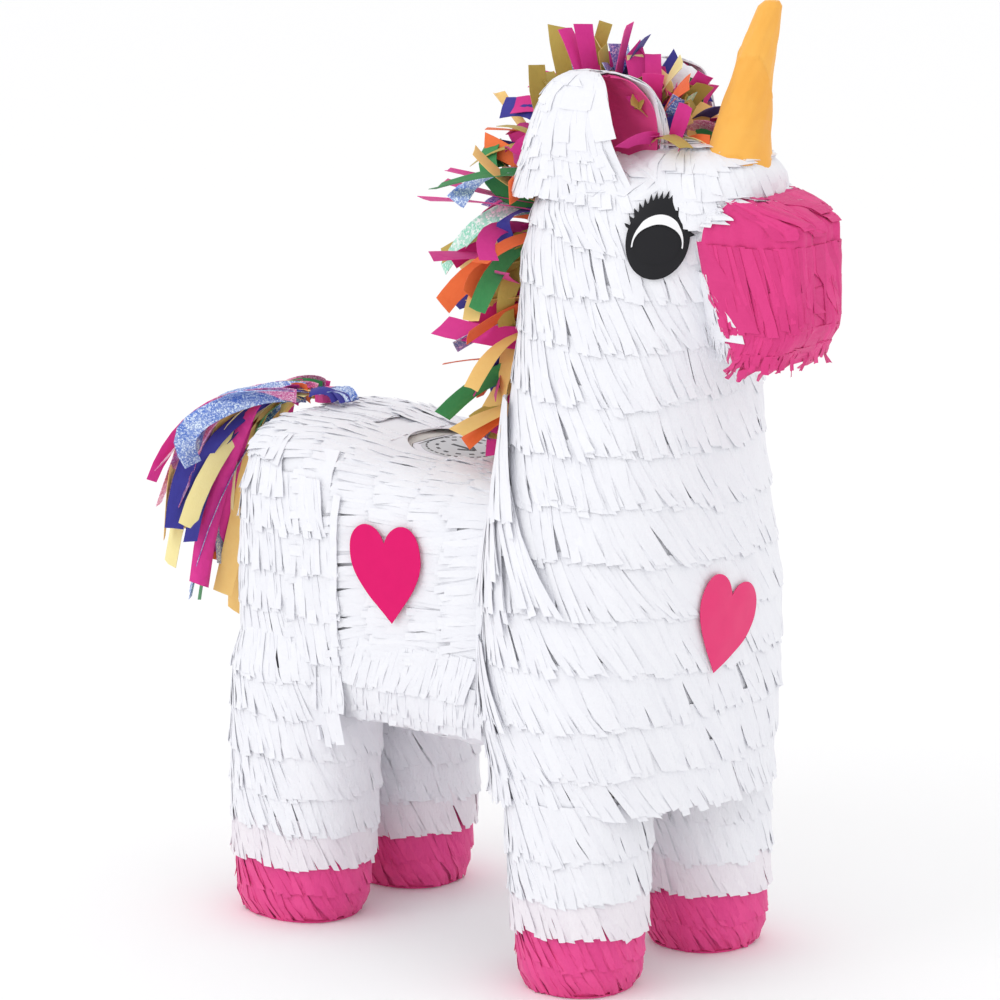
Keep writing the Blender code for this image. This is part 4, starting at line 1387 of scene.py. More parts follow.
@dataclass
class Tail:
    """Long streamers taped at the top of the rump, arching back and falling."""

    root: tuple[float, float, float] = (-0.1375, 0.0, 0.2975)

    def build(self) -> None:
        """Makes one piece for each colour; the first also stands for the model's plume."""
        plan = ((Streamer.BLUE_GLITTER, 6, 1.0), (Streamer.MAGENTA, 8, 0.9), (Streamer.STRAW, 7, 1.05),
                (Streamer.ORANGE, 6, 0.95), (Streamer.GREEN, 7, 0.95), (Streamer.INDIGO, 5, 0.7),
                (Streamer.CREAM, 6, 1.05), (Streamer.ROSE_GLITTER, 5, 0.85))
        nodes = ["tail_streamers"]
        rng = np.random.default_rng(51)
        for kind, count, reach in plan:
            shape = Shape()
            path = self.curves(count, reach, rng)
            across = unit(np.array([0.55, 0.0, 0.75]) + rng.normal(0, 0.25, (count, 3)))
            width = rng.uniform(0.008, 0.0135, count)
            add_ribbons(shape, path, across, width, 0.0003, rng, twist=1.0, cup=0.1)
            piece = shape.build("tail_" + kind.name.lower(), 70.0)
            place_piece(piece, kind.value, "tail", nodes)
            nodes = []

    def wrap(self) -> None:
        """Makes the short ribbons laid over the tape at the root; they stay with the body."""
        rng = np.random.default_rng(52)
        for kind in (Streamer.BLUE_GLITTER, Streamer.INDIGO):
            shape = Shape()
            count = 4
            start = np.array([-0.107, 0.0, 0.2965]) + rng.normal(0, 1, (count, 3)) * [0.002, 0.006, 0.0003]
            p1 = start + np.array([-0.003, 0.0, 0.0055])
            size = (count, 3)
            p2 = start + np.array([-0.011, 0.0, 0.0065]) + rng.normal(0, 1, size) * [0.001, 0.003, 0.0006]
            p3 = start + np.array([-0.0165, 0.0, 0.0030]) + rng.normal(0, 1, size) * [0.001, 0.004, 0.0006]
            add_ribbons(shape, bezier(start, p1, p2, p3, 9), np.array([0.1, 0.0, 1.0]),
                        rng.uniform(0.008, 0.013, count), 0.0003, rng, twist=0.2)
            piece = shape.build("tail_wrap_" + kind.name.lower(), 70.0)
            place_piece(piece, kind.value, "body")

    def curves(self, count: int, reach: float, rng: np.random.Generator) -> Array:
        """Cubic centre lines from the root, over the rump's edge and down to spread ends.

        Args:
            count: how many ribbons.
            reach: factor on how far they hang.
            rng: random numbers.

        Returns:
            (count, 16, 3) places.
        """
        root = np.array(self.root) + rng.normal(0, 1, (count, 3)) * [0.003, 0.006, 0.0008]
        side = rng.uniform(-1, 1, count)[:, None]
        out = rng.uniform(0.75, 1.1, count)[:, None]
        p1 = root + np.array([-0.020, -0.004, 0.004]) * out + side * [0.0, 0.010, 0.0]
        p2 = root + np.array([-0.058, -0.018, -0.006]) * out + side * [0.004, 0.024, 0.0]
        drop = rng.uniform(0.055, 0.140, count)[:, None] * reach
        p3 = root + np.array([-0.070, -0.022, 0.0]) * out + side * [0.010, 0.030, 0.0] + drop * [0, 0, -1.0]
        if reach == 1.0:
            p1[:3] = root[:3] + np.array([-0.012, -0.022, 0.005])
            p2[:3] = root[:3] + np.array([-0.050, -0.055, 0.004]) + rng.normal(0, 0.005, (3, 3))
            p3[:3] = root[:3] + np.array([-0.046, -0.050, -0.036]) + rng.normal(0, 0.006, (3, 3))
        p3[:, 0] = np.maximum(p3[:, 0], -0.232)
        path = bezier(root, p1, p2, p3, 16)
        wave = np.sin(np.linspace(0, 7, 16)[None] + rng.uniform(0, 6, (count, 1))) * np.linspace(0, 1, 16)
        path[..., 1] += 0.007 * wave
        path[..., 0] += 0.005 * np.roll(wave, 3, axis=0)
        return path


# ------------------------------------------------------------------ legs
@dataclass(frozen=True)
class Leg:
    """One leg: white rows above, pink rows for the hoof."""

    name: str
    rows: Sequence[Sequence[float]]
    side: float
    white: Sequence[float]
    seed: int

    def build(self, barrel: RingStack) -> None:
        """Makes the leg's white fringe and its pink hoof.

        Args:
            barrel: the barrel's surface, inside which no strip is kept.
        """
        stack = RingStack([(z, x, self.side * y, hx, hy) for z, x, y, hx, hy in self.rows], 2.3, Lie.LEVEL)
        face = face_of(stack)
        rng = np.random.default_rng(self.seed)
        white = Shape()
        top = stack.distance(self.rows[-1][0])
        high = min(top, stack.distance(0.1165))
        lay_backing(white, face, stack.distance(0.050), high, depth=0.0034, up=12, across=48)
        for root in self.white:
            row = Row(stack.distance(root), 0.0320, lean=0.42, waviness=0.0012)
            lay_row(white, face, row, Cut(), rng, lambda p: barrel.inside(p, -0.0035))
        place_piece(white.build("leg_fringe_" + self.name), WHITE, "body",
                    ["leg_paper_" + self.name])
        blush = Shape()
        lay_row(blush, face, Row(stack.distance(0.0655), 0.0300, lean=0.42, waviness=0.0012), Cut(), rng)
        place_piece(blush.build("leg_blush_" + self.name), BLUSH, "body")
        self.hoof(face, stack, rng)

    def hoof(self, face: Face, stack: RingStack, rng: np.random.Generator) -> None:
        """Makes the pink rows, their backing and the paper under the foot.

        Args:
            face: the leg's surface.
            stack: the rings that it is made of.
            rng: random numbers.
        """
        pink = Shape()
        lay_backing(pink, face, stack.distance(0.0), stack.distance(0.050), depth=0.0042, up=8, across=48)
        share = np.linspace(0.015, 1, 9)[:, None]
        turn = np.linspace(0.0008, 0.9992, 49)[None]
        rim = stack.at(turn, np.full_like(turn, stack.along[0]))
        centre = stack.core(np.array(stack.along[0]))
        disc = centre + (rim - centre) * share[..., None] * 0.93
        disc[..., 2] = 0.0006
        flats = disc[..., :2] * 100
        up = np.broadcast_to(np.array([0.0, 0.0, 1.0]), disc.shape)
        add_leaves(pink, disc[None], up[None], 0.0009, np.array([0.5]), flats[None])
        for root, length in ((0.030, 0.0300), (0.052, 0.0340)):
            row = Row(stack.distance(root), length, lean=0.55, waviness=0.0008)
            cut = Cut(base=-0.0036, lift=0.0012, curl=0.0006, even=0.03)
            lay_row(pink, face, row, cut, rng)
        for points in pink.points:
            points[:, 2] = np.maximum(points[:, 2], 0.00015 + 0.00002 * (points[:, 0] * 7919 % 1))
        place_piece(pink.build("hoof_fringe_" + self.name), PINK, "body",
                    ["hoof_paper_" + self.name])


def build_legs(barrel: RingStack) -> None:
    """Makes the four legs."""
    front = ((0.0, 0.112, 0.0563, 0.0310, 0.0310), (0.010, 0.112, 0.0563, 0.0362, 0.0362),
             (0.052, 0.111, 0.0558, 0.0385, 0.0385), (0.1195, 0.108, 0.0540, 0.0420, 0.0415))
    hind = ((0.0, -0.106, 0.0460, 0.0360, 0.0310), (0.010, -0.106, 0.0460, 0.0415, 0.0360),
            (0.052, -0.105, 0.0455, 0.0440, 0.0385), (0.115, -0.104, 0.0444, 0.0455, 0.0401),
            (0.150, -0.103, 0.0430, 0.0461, 0.0402), (0.166, -0.102, 0.0395, 0.0450, 0.0388),
            (0.182, -0.102, 0.0345, 0.0430, 0.0375))
    for seed, (name, rows, side, white) in enumerate((
            ("front_left", front, 1.0, (0.0880, 0.1120)), ("front_right", front, -1.0, (0.0880, 0.1120)),
            ("hind_left", hind, 1.0, (0.0880, 0.1100, 0.1320, 0.1540, 0.1760)),
            ("hind_right", hind, -1.0, (0.0880, 0.1100, 0.1320, 0.1540, 0.1760)))):
        Leg(name, rows, side, white, 60 + seed).build(barrel)


# ------------------------------------------------------------------ muzzle
@dataclass
class Muzzle:
    """Pink muzzle: a tapered snout with a flat front, under long vertical strips."""

    front: float = 0.2325
    half: float = 0.0250
    spread: float = 0.27
    corner: float = 0.22
    snout_rows: Sequence[tuple[float, float, int]] = (
        (0.3830, 0.026, 0), (0.4050, 0.040, 0), (0.4290, 0.044, 1), (0.4520, 0.046, 1), (0.4575, 0.040, 2))
    cheek_rows: Sequence[tuple[float, float]] = (
        (0.3760, 0.018), (0.3880, 0.024), (0.4000, 0.026), (0.4120, 0.026), (0.4240, 0.026),
        (0.4360, 0.026), (0.4480, 0.026), (0.4575, 0.026))
    shares: Array = field(init=False)
    turns: Array = field(init=False)

    def __post_init__(self) -> None:
        """Makes the table that turns shares of the outline's length into angles."""
        self.turns = np.linspace(-np.pi / 2, np.pi / 2, 1441)
        x, y = self.plan(self.turns, self.front, 1.0)
        length = np.concatenate([[0.0], np.cumsum(np.hypot(np.diff(x), np.diff(y)))])
        self.shares = length / length[-1]

    def plan(self, turn: Array, reach: Array, squeeze: Array, pinch: Array = 0.182) -> tuple[Array, Array]:
        """X and Y of the level outline.

        X is 0.160 + (reach - 0.160) |cos t|^corner, and Y is sign(sin t) |sin t|^corner times a half width
        that grows backwards and shrinks again behind the pinch.

        Args:
            turn: angles t.
            reach: X of the front.
            squeeze: factor on the width.
            pinch: X behind which the outline dives into the head.

        Returns:
            X and Y.
        """
        c = np.abs(np.cos(turn)) ** self.corner
        s = np.sign(np.sin(turn)) * np.abs(np.sin(turn)) ** self.corner
        x = 0.160 + (reach - 0.160) * c
        return x, (self.half + self.spread * (self.front - x) - 0.85 * np.clip(pinch - x, 0, 1)) * s * squeeze

    def outline(self, a: Array, b: Array) -> Array:
        """Point on the snout, whose level outline shrinks near the top and the chin.

        Args:
            a: share of the way round its front, from right to left.
            b: height.

        Returns:
            Places.
        """
        a, b = np.broadcast_arrays(a, b)
        reach = np.interp(b, [0.354, 0.3575, 0.363, 0.372, 0.382, 0.440, 0.447, 0.4525, 0.456, 0.458],
                          [0.170, 0.196, 0.214, 0.2255, 0.2325, 0.2325, 0.220, 0.204, 0.182, 0.168])
        squeeze = np.interp(b, [0.354, 0.360, 0.368, 0.380, 0.436, 0.447, 0.454, 0.458],
                            [0.45, 0.80, 0.93, 1.0, 1.0, 0.93, 0.78, 0.45])
        x, y = self.plan(np.interp(a, self.shares, self.turns), reach, squeeze, self.seam(b) - 0.003)
        return np.stack([x, y, b * 1.0], axis=-1)

    @staticmethod
    def core(b: Array) -> Array:
        """Middle of the snout, which its surface faces away from at every height."""
        return np.broadcast_to(np.array([0.150, 0.0, 0.405]), (*b.shape, 3))

    def share_of(self, x: Array, b: Array) -> Array:
        """Share of the way round, on the right half, at which the outline comes to an X.

        Args:
            x: the X.
            b: the height.

        Returns:
            Shares from 0 to 0.5.
        """
        reach = self.outline(np.full_like(b, 0.5), b)[..., 0]
        cosine = np.clip((x - 0.160) / (reach - 0.160), 0, 1) ** (1 / self.corner)
        return np.interp(-np.arccos(cosine), self.turns, self.shares)

    def build(self) -> None:
        """Makes the snout's backing, strips and chin frill, and the white cheeks behind it."""
        face = Face(self.outline, self.core)
        rng = np.random.default_rng(71)
        shape = Shape()
        b, a = np.meshgrid(np.linspace(0.3545, 0.4575, 49), np.linspace(0.0, 1.0, 97), indexing="ij")
        edge = self.share_of(self.seam(b) - 0.002, b)
        a = edge + (1 - 2 * edge) * a
        point, normal, _, _ = face.frame(a, b)
        fold = 0.0006 * np.sin(50 * a + 70 * b) * np.sin(31 * a) + 0.0004 * np.sin(150 * a + 60 * b)
        middle = point + normal * (-0.0010 + fold)[..., None]
        flats = np.stack([a * 14, b * 100], -1)[None]
        add_leaves(shape, middle[None], normal[None], 0.0008, np.array([0.5]), flats)
        for root, length, layer in self.snout_rows:
            row = Row(root, length, 0.03, 0.97, lean=0.24, waviness=0.0006)
            cut = Cut(width=0.0050, overlap=2.2, base=-0.0006 + 0.0003 * layer, lift=0.0006, curl=0.0004,
                      sway=0.002, even=0.08)
            lay_row(shape, face, row, cut, rng, clear=lambda p: p[..., 0] < self.seam(p[..., 2]) - 0.005)
        frill = Cut(width=0.0042, lift=0.0040, curl=0.0030, sway=0.003, even=0.30, base=0.0)
        lay_row(shape, face, Row(0.3710, 0.0130, 0.22, 0.78, lean=0.40), frill, rng)
        place_piece(shape.build("muzzle_fringe"), SNOUT, "body",
                    ["muzzle_paper", "muzzle_shell"])
        cheek = Shape()
        trunk, eye = RingStack(TRUNK_ROWS, 2.3, Lie.LEVEL), (0.160, 0.0480, 0.431)
        b, k = np.meshgrid(np.linspace(0.3550, 0.4570, 41), np.linspace(0.0, 1.0, 17), indexing="ij")
        a = self.share_of(0.1605 + (self.seam(b) + 0.002 - 0.1605) * k, b)
        for share in (a, 1 - a):
            point, normal, _, _ = face.frame(share, b)
            middle = (point - normal * 0.0022)[None]
            flats = np.stack([k * 2, b * 100], -1)[None]
            add_leaves(cheek, middle, normal[None], 0.0008, np.array([0.5]), flats)
        for root, length in self.cheek_rows:
            row = Row(root, length, 0.0, 1.0, lean=0.12, waviness=0.0006)
            cut = Cut(base=-0.0008, lift=0.0010)
            lay_row(cheek, face, row, cut, rng, lambda p: trunk.inside(p, 0.0),
                    clear=lambda p: ((p[..., 0] > self.seam(p[..., 2]) - 0.0006)
                                     | (near(np.abs(p), eye, 0.0235) > 0.01)))
        place_piece(cheek.build("cheek_fringe"), WHITE, "body")

    @staticmethod
    def seam(height: Array) -> Array:
        """Least X of the pink paper at this height, a rounded line down each cheek."""
        return np.interp(height, [0.340, 0.361, 0.378, 0.404, 0.428, 0.440, 0.450, 0.458, 0.466],
                         [0.2120, 0.2057, 0.1980, 0.1885, 0.1825, 0.1845, 0.1925, 0.2020, 0.2110])


# ------------------------------------------------------------------ horn and ears
@dataclass
class Horn:
    """Horn wrapped in gold tissue: a slightly bowed cone with a slanting overlapped wrap."""

    heights: Sequence[float] = (0.4640, 0.4710, 0.4850, 0.5028, 0.5212, 0.5396, 0.5560, 0.5590)
    centres: Sequence[float] = (0.1755, 0.1762, 0.1782, 0.1815, 0.1862, 0.1912, 0.1965, 0.1978)
    radii: Sequence[float] = (0.0196, 0.0186, 0.0158, 0.0130, 0.0108, 0.0088, 0.0066, 0.0042)

    def build(self) -> None:
        """Makes the wrap: radius R(z) plus a saw-edged fold along a helix and small pinches."""
        share = np.linspace(0, 1, 90)
        place = np.interp(share, np.linspace(0, 1, len(self.heights)), self.heights)
        turn = np.linspace(0, 2 * np.pi, 97)
        z, angle = np.meshgrid(place, turn, indexing="ij")
        radius = np.interp(z, self.heights, self.radii)
        centre = np.interp(z, self.heights, self.centres)
        helix = (angle / (2 * np.pi) + (z - 0.46) / 0.055 + 0.12 * np.sin(2 * angle)) % 1.0
        fold = 0.0009 * helix**5
        pinch = 0.0003 * np.sin(4 * angle + 150 * z) + 0.0002 * np.sin(9 * angle - 240 * z + 1.0)
        fade = np.clip((0.559 - z) / 0.02, 0.3, 1.0)
        out = radius + (fold + pinch) * fade
        ragged = np.clip((0.474 - z) / 0.010, 0, 1) * 0.0010 * np.sin(7 * angle + 1.0)
        wide = out + ragged
        points = np.stack([centre + wide * np.cos(angle), wide * np.sin(angle), z], axis=-1)
        points[:, -1] = points[:, 0]
        cap = [points[i].mean(axis=0) for i in (0, -1)]
        rings = np.concatenate([np.broadcast_to(cap[0], (1, 97, 3)), points,
                                np.broadcast_to(cap[1] + np.array([0.0005, 0, 0.0006]), (1, 97, 3))])
        rows, columns = rings.shape[:2]
        across = np.broadcast_to(angle[:1] * 1.0, (rows, columns))
        flats = np.stack([across + rings[..., 2] * 12, rings[..., 2] * 100], axis=-1)
        shape = Shape()
        # Painted shade: the tone rises towards each fold's edge, mixing the gold paper's shaded copy in along
        # the folds.
        tone = 0.25 + 0.5 * np.concatenate([helix[:1], helix, helix[-1:]])
        shape.add(rings, grid_quads(rows, columns), tone, flats)
        place_piece(shape.build("horn_wrap", 60.0), GOLD, "body", ["horn_paper", "horn_cone"])


@dataclass(frozen=True)
class Ear:
    """Cupped ear: white fringe outside, pink tissue inside."""

    side: float
    word: str
    seed: int

    def leaf(self, a: Array, b: Array) -> Array:
        """Point of the cupped leaf.

        In plan it is an arc of 128 degrees each way, open to the front, narrowed by cos(82 deg * b^2.2). The
        inner edge comes forward. Near the foot the outer edge does too, and the rear spreads backwards.

        Args:
            a: turn, from -1 at the inner edge to 1 at the outer one.
            b: rise, from 0 to 1.

        Returns:
            Places.
        """
        a, b = np.broadcast_arrays(a, b)
        rise = np.clip(b, 0, 1)
        narrow = np.cos(np.radians(82) * rise**2.2)
        around = np.radians(128) * a
        forward = 0.015 * np.clip(-a - 0.5, 0, 1) * 2
        base = 0.12 * np.clip(0.45 - rise, 0, 1) ** 1.5 * np.clip(a - 0.4, 0, 1) / 0.6
        base = base + 0.006 * rise - 0.026 * (1 - rise) ** 2.2 * np.clip(np.cos(around), 0, 1)
        x = 0.100 - 0.036 * narrow * np.cos(around) - 0.004 * rise + forward * narrow + base
        y = self.side * (0.0320 + 0.0195 * narrow * np.sin(around))
        z = 0.432 + 0.083 * np.sin(np.pi / 2 * rise)
        return np.stack([x, y, z], axis=-1)

    def core(self, b: Array) -> Array:
        """Middle line that the outside faces away from."""
        return np.stack([np.full_like(b, 0.106), np.full_like(b, self.side * 0.0315),
                         0.425 + 0.080 * np.sin(np.pi / 2 * np.clip(b, 0, 1))], axis=-1)

    def build(self) -> None:
        """Makes the outer paper with its fringe, and the lining."""
        rng = np.random.default_rng(self.seed)
        face = Face(self.leaf, self.core, 1e-3)
        outer = Shape()
        b, a = np.meshgrid(np.linspace(0.16, 0.99, 29), np.linspace(-1, 1, 41), indexing="ij")
        point, normal, _, _ = face.frame(a, b)
        flats = np.stack([a * 4, b * 8], axis=-1)
        fold = 0.0006 * np.sin(9 * a + 20 * b)
        add_leaves(outer, (point - normal * (0.0010 + fold)[..., None])[None], normal[None], 0.0008,
                   np.array([0.4]), flats[None])
        for root, length in ((0.24, 0.020), (0.40, 0.022), (0.56, 0.024), (0.72, 0.026), (0.88, 0.028),
                             (0.985, 0.028)):
            row = Row(root, length, -0.97, 0.93, lean=0.0, waviness=0.01)
            cut = Cut(width=0.0052, base=-0.0008, lift=0.0011, curl=0.0004, ruffle=0.0002, sway=0.0005,
                      tilt=0.03)
            lay_row(outer, face, row, cut, rng)
        place_piece(outer.build("ear_fringe_" + self.word), WHITE, "body",
                    ["ear_paper_" + self.word, "ear_card_" + self.word])
        self.lining(a, b, face)

    def lining(self, a: Array, b: Array, face: Face) -> None:
        """Makes the creased pink lining.

        Args:
            a: turns of its grid.
            b: rises of its grid.
            face: the ear's surface.
        """
        inner = Shape()
        point, normal, _, _ = face.frame(a * 0.97, b * 0.985)
        fold = 0.0008 * np.sin(12 * a + 9 * b) + 0.0006 * np.sin(27 * a - 14 * b) + 0.0004 * np.sin(19 * b)
        middle = point - normal * (0.0034 + fold)[..., None]
        flats = np.stack([a * 3, b * 7], -1)[None]
        add_leaves(inner, middle[None], normal[None], 0.0006, np.array([0.4]), flats)
        place_piece(inner.build("ear_lining_tissue_" + self.word), PINK, "body",
                    ["ear_lining_" + self.word])


# ------------------------------------------------------------------ stickers
@dataclass
class Stickers:
    """Hearts and eyes; FillLabel makes the label on the fill flap."""

    trunk: RingStack
    barrel: RingStack

    def share_towards(self, stack: RingStack, place: float, target: Sequence[float]) -> float:
        """Share of the way round whose point is nearest to a target.

        Args:
            stack: the rings.
            place: the ring's place.
            target: the target.

        Returns:
            The share.
        """
        share = np.linspace(0, 1, 1441)
        points = stack.at(share, np.full_like(share, stack.distance(place)))
        return float(share[np.argmin(np.linalg.norm(points - np.array(target), axis=-1))])

    def build(self) -> None:
        """Makes every sticker."""
        trunk, barrel = face_of(self.trunk), face_of(self.barrel)
        flat = Sticker()
        chest = Shape()
        outline = turned(heart_outline(0.049, 0.055), -20.0)
        flat.add(chest, trunk, -0.013, self.trunk.distance(0.2090), outline)
        place_piece(chest.build("heart_chest_sticker"), HEART, "body", ["heart_chest"])
        for side, word in ((1.0, "left"), (-1.0, "right")):
            share = self.share_towards(self.barrel, -0.015, (-0.015, side * 0.073, 0.2205))
            heart = Shape()
            outline = turned(heart_outline(0.0525, 0.0565), 8.0)[:, ::-1] * np.array([side, 1.0])
            flat.add(heart, barrel, share, self.barrel.distance(-0.015), outline, lift=0.0008)
            place_piece(heart.build("heart_sticker_" + word), SIDE_HEART, "body",
                        ["heart_" + word])
            self.eye(trunk, side, word)

    def eye(self, face: Face, side: float, word: str) -> None:
        """Makes one eye: a black egg shape with cut lashes, a white crescent and a pupil.

        Args:
            face: the head's surface.
            side: 1 for the left, -1 for the right.
            word: the side in the pieces' names.
        """
        height = self.trunk.distance(0.4320)
        share = self.share_towards(self.trunk, 0.4320, (0.160, side * 0.0500, 0.432))
        t = np.linspace(0, 2 * np.pi, 264, endpoint=False)
        lashes = np.clip(np.sin(t - 0.10), 0, 1) > 0.12
        saw = (t * 18 / np.pi) % 1.0
        reach = 1.0 + np.where(lashes, 0.19 * np.clip(saw * 1.6, 0, 1) * (saw < 0.72) - 0.01, 0.0)
        oval = np.stack([0.0172 * reach * np.cos(t) * side, (0.0225 * np.sin(t)) * reach - 0.0015], axis=-1)
        black, white, pupil = Shape(), Shape(), Shape()
        Sticker(rings=10).add(black, face, share, height, oval)
        u = np.linspace(-0.12, np.pi + 0.12, 40)
        outer = np.stack([0.0138 * np.cos(u), 0.0165 * np.sin(u)], axis=-1)
        inner = np.stack([0.0131 * np.cos(u[::-1]), 0.0112 * np.sin(u[::-1])], axis=-1)
        crescent = np.stack([outer, inner[::-1]])
        self.crescent(white, face, share, height - 0.0050, crescent, side)
        disc = np.stack([0.0118 * np.cos(t), 0.0104 * np.sin(t) - 0.0052], axis=-1)
        Sticker(rings=8).add(pupil, face, share, height, disc * np.array([side, 1.0]), lift=0.0005)
        place_piece(black.build("eye_sticker_" + word), BLACK, "body", ["eye_" + word])
        place_piece(white.build("eye_crescent_" + word), EYE_WHITE, "body")
        place_piece(pupil.build("eye_pupil_" + word), BLACK, "body")

    def crescent(self, shape: Shape, face: Face, a: float, b: float, edges: Array, side: float) -> None:
        """Adds the crescent as a grid between its two edge curves.

        Args:
            shape: what it is added to.
            face: the head's surface.
            a: its middle's share of the way round.
            b: its middle's place along.
            edges: (2, n, 2) outer and inner edges.
            side: 1 for the left, -1 for the right.
        """
        _, _, size_a, size_b = face.frame(np.array([a]), np.array([b]))
        k = np.linspace(0, 1, 6)[:, None, None]
        flat = edges[0] * (1 - k) + edges[1] * k
        point, normal, _, _ = face.frame(a + side * flat[..., 0] / size_a[0], b + flat[..., 1] / size_b[0])
        middle = point + normal * 0.0021
        add_leaves(shape, middle[None], normal[None], 0.0003, np.array([0.5]), (flat * 100)[None])


@dataclass
class FillLabel:
    """Round label on the fill flap, printed with two plain rings of dashes and an arrow."""

    radius: float = 0.0240
    cover: float = 0.0286
    fold: float = 0.0205

    def build(self) -> None:
        """Makes the label's disc and its print, tilted with the flap."""
        low, high = (np.array(v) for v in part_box("fill_label"))
        centre = (low + high) / 2
        tilt = math.atan2(0.0085, 0.098)
        along = np.array([math.cos(tilt), 0.0, -math.sin(tilt)])
        across = np.array([0.0, 1.0, 0.0])
        up = np.array([math.sin(tilt), 0.0, math.cos(tilt)])
        share = np.linspace(0, 1, 9)[:, None, None]
        t = np.linspace(0, 2 * np.pi, 97)[None, :, None]
        flat = (along * np.cos(t) + across * np.sin(t)) * self.radius * share
        middle = centre + flat
        normal = np.broadcast_to(up, middle.shape)
        disc = Shape()
        quads = disc_quads(*middle.shape[:2])
        both = np.stack([middle + normal * 0.00035, middle - normal * 0.00025])
        disc.add(both, quads, np.full(both.shape[:-1], 0.5), both[..., :2] * 100)
        cover = Shape()
        wider = (both - centre) * (self.cover / self.radius) + centre - up * 0.0003
        wider[..., 0] = np.maximum(wider[..., 0], centre[0] - self.fold)
        cover.add(wider, quads, np.full(both.shape[:-1], 0.5), wider[..., :2] * 100)
        # Painted shade: the flap paper uses the shaded smooth white finish.
        place_piece(cover.build("flap_paper"), SHADED_SMOOTH_WHITE, "fill_flap")
        place_piece(disc.build("fill_label_disc"), LABEL, "fill_flap", ["fill_label"])
        self.marks(centre, along, across, up)

    def marks(self, centre: Array, along: Array, across: Array, up: Array) -> None:
        """Adds the dashes of two rings and an arrow towards the flap's front edge.

        Args:
            centre: the label's middle.
            along: its direction towards the front.
            across: its direction towards the left.
            up: its outward direction.
        """
        marks = Shape()
        grid = np.linspace(-0.5, 0.5, 4)
        for ring, dashes, long, wide in ((0.0210, 30, 0.0026, 0.0010), (0.0150, 12, 0.0030, 0.0018)):
            t = np.linspace(0, 2 * np.pi, dashes, endpoint=False)[:, None, None]
            turn = t + grid[None, :, None] * long / ring
            out = ring + grid[None, None, :] * wide
            flat = along * (np.cos(turn) * out)[..., None] + across * (np.sin(turn) * out)[..., None]
            middle = centre + flat + up * 0.0004
            normal = np.broadcast_to(up, middle.shape)
            add_leaves(marks, middle, normal, 0.0002, np.full(dashes, 0.5), flat[..., :2] * 100)
        s = np.linspace(0, 1, 5)
        for start, stop, wide in (((-0.008, 0), (0.006, 0), 0.0022), ((0.009, 0), (0.001, 0.006), 0.0022),
                                  ((0.009, 0), (0.001, -0.006), 0.0022)):
            line = np.array(start) + (np.array(stop) - np.array(start)) * s[:, None]
            away = unit(np.array([-(stop[1] - start[1]), stop[0] - start[0]])) * wide
            stroke = line[:, None] + away * grid[None, :, None]
            middle = centre + along * stroke[..., :1] + across * stroke[..., 1:] + up * 0.0004
            normal = np.broadcast_to(up, middle.shape)[None]
            add_leaves(marks, middle[None], normal, 0.0002, np.array([0.5]), stroke[None] * 100)
        place_piece(marks.build("fill_label_print"), PRINT, "fill_flap")


# ------------------------------------------------------------------ the rest of the model
def dress_model(nodes: dict[str, bpy.types.Object]) -> None:
    """Gives the card, wire and tape nodes of the model their finishes.

    Args:
        nodes: the model's nodes by name.
    """
    card, wire = CARD.build(), WireFinish().build()
    tape = StickerFinish("pink_tape", (0.80, 0.06, 0.30)).build()
    # The fill flap's finish is the shaded smooth white paper, painted shade.
    plain = {"hanger_eye": wire, "hanger_ring": wire, "tail_tape": tape, "fill_flap": SHADED_SMOOTH_WHITE.build()}
    for name, node in nodes.items():
        for slot in node.material_slots:
            slot.material = plain.get(name, card)


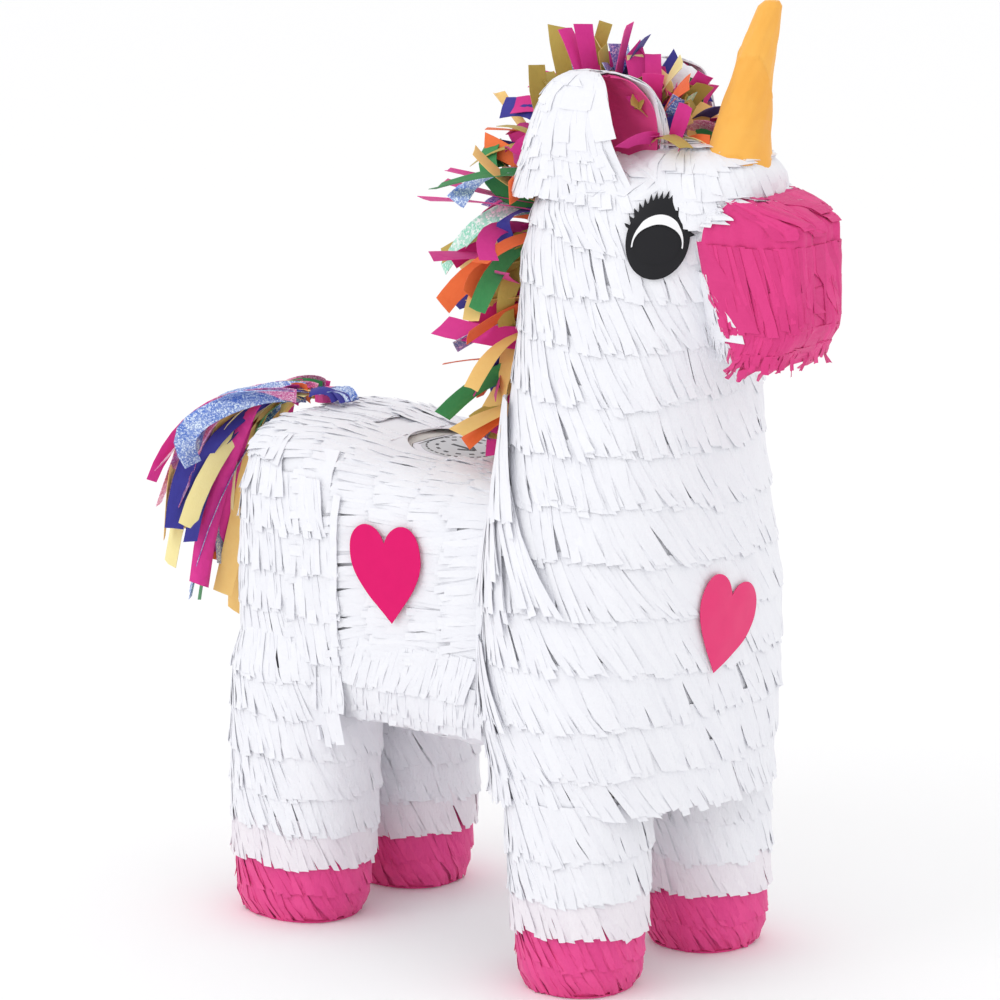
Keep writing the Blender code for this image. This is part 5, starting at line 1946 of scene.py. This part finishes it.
@dataclass
class Studio:
    """Floor, lights and camera."""

    azimuth: float = 39.96
    elevation: float = 12.87
    distance: float = 3.5
    target: tuple[float, float, float] = (0.0058, 0.0, 0.2537)
    lens: float = 220.3

    def aim(self, thing: bpy.types.Object, azimuth: float, elevation: float, distance: float) -> None:
        """Adds a light or a camera that looks at the target.

        Args:
            thing: its object.
            azimuth: degrees round from the right side towards the front.
            elevation: degrees up.
            distance: metres from the target.
        """
        a, e = math.radians(azimuth), math.radians(elevation)
        way = Vector((math.sin(a) * math.cos(e), -math.cos(a) * math.cos(e), math.sin(e)))
        thing.location = Vector(self.target) + way * distance
        thing.rotation_euler = way.to_track_quat("Z", "Y").to_euler()
        bpy.context.scene.collection.objects.link(thing)

    def light(self, name: str, azimuth: float, elevation: float, distance: float, size: float,
              power: float) -> None:
        """Adds one square soft light aimed at the target.

        Args:
            name: its name.
            azimuth: degrees round from the right side towards the front.
            elevation: degrees up.
            distance: metres from the target.
            size: side of the square.
            power: watts.
        """
        lamp = bpy.data.lights.new(name, "AREA")
        lamp.size = size
        lamp.energy = power
        self.aim(bpy.data.objects.new(name, lamp), azimuth, elevation, distance)

    def build(self) -> None:
        """Makes the stage and the camera."""
        scene = bpy.context.scene
        mesh = bpy.data.meshes.new("floor")
        mesh.from_pydata([(-6, -6, 0), (6, -6, 0), (6, 6, 0), (-6, 6, 0)], [], [(0, 1, 2, 3)])
        floor = bpy.data.objects.new("floor", mesh)
        scene.collection.objects.link(floor)
        made, _, shader = new_material("pale_floor")
        shader.inputs["Base Color"].default_value = (0.97, 0.97, 0.975, 1.0)
        shader.inputs["Roughness"].default_value = 0.9
        mesh.materials.append(made)
        world = bpy.data.worlds.new("studio")
        world.use_nodes = True
        world.node_tree.nodes["Background"].inputs["Color"].default_value = (1.0, 1.0, 1.0, 1.0)
        world.node_tree.nodes["Background"].inputs["Strength"].default_value = 1.02
        scene.world = world
        self.light("key", -15.0, 35.0, 2.6, 1.2, 8.0)
        camera = bpy.data.cameras.new("camera")
        camera.lens = self.lens
        camera.sensor_width = 36.0
        camera.clip_end = 60.0
        obj = bpy.data.objects.new("camera", camera)
        self.aim(obj, self.azimuth, self.elevation, self.distance)
        scene.camera = obj
        scene.view_settings.view_transform = "Standard"


def main() -> None:
    """Builds every sub-assembly in order."""
    logging.basicConfig(level=logging.INFO, format="%(name)s %(message)s")
    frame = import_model()
    Studio().build()
    dress_model(frame["nodes"])
    trunk, barrel = Trunk(), Barrel()
    trunk.build()
    barrel.build()
    build_legs(barrel.stack)
    Muzzle().build()
    Horn().build()
    Ear(1.0, "left", 81).build()
    Ear(-1.0, "right", 82).build()
    Stickers(trunk.stack, barrel.stack).build()
    FillLabel().build()
    Mane().build()
    tail = Tail()
    tail.build()
    tail.wrap()


if __name__ == "__main__":
    main()
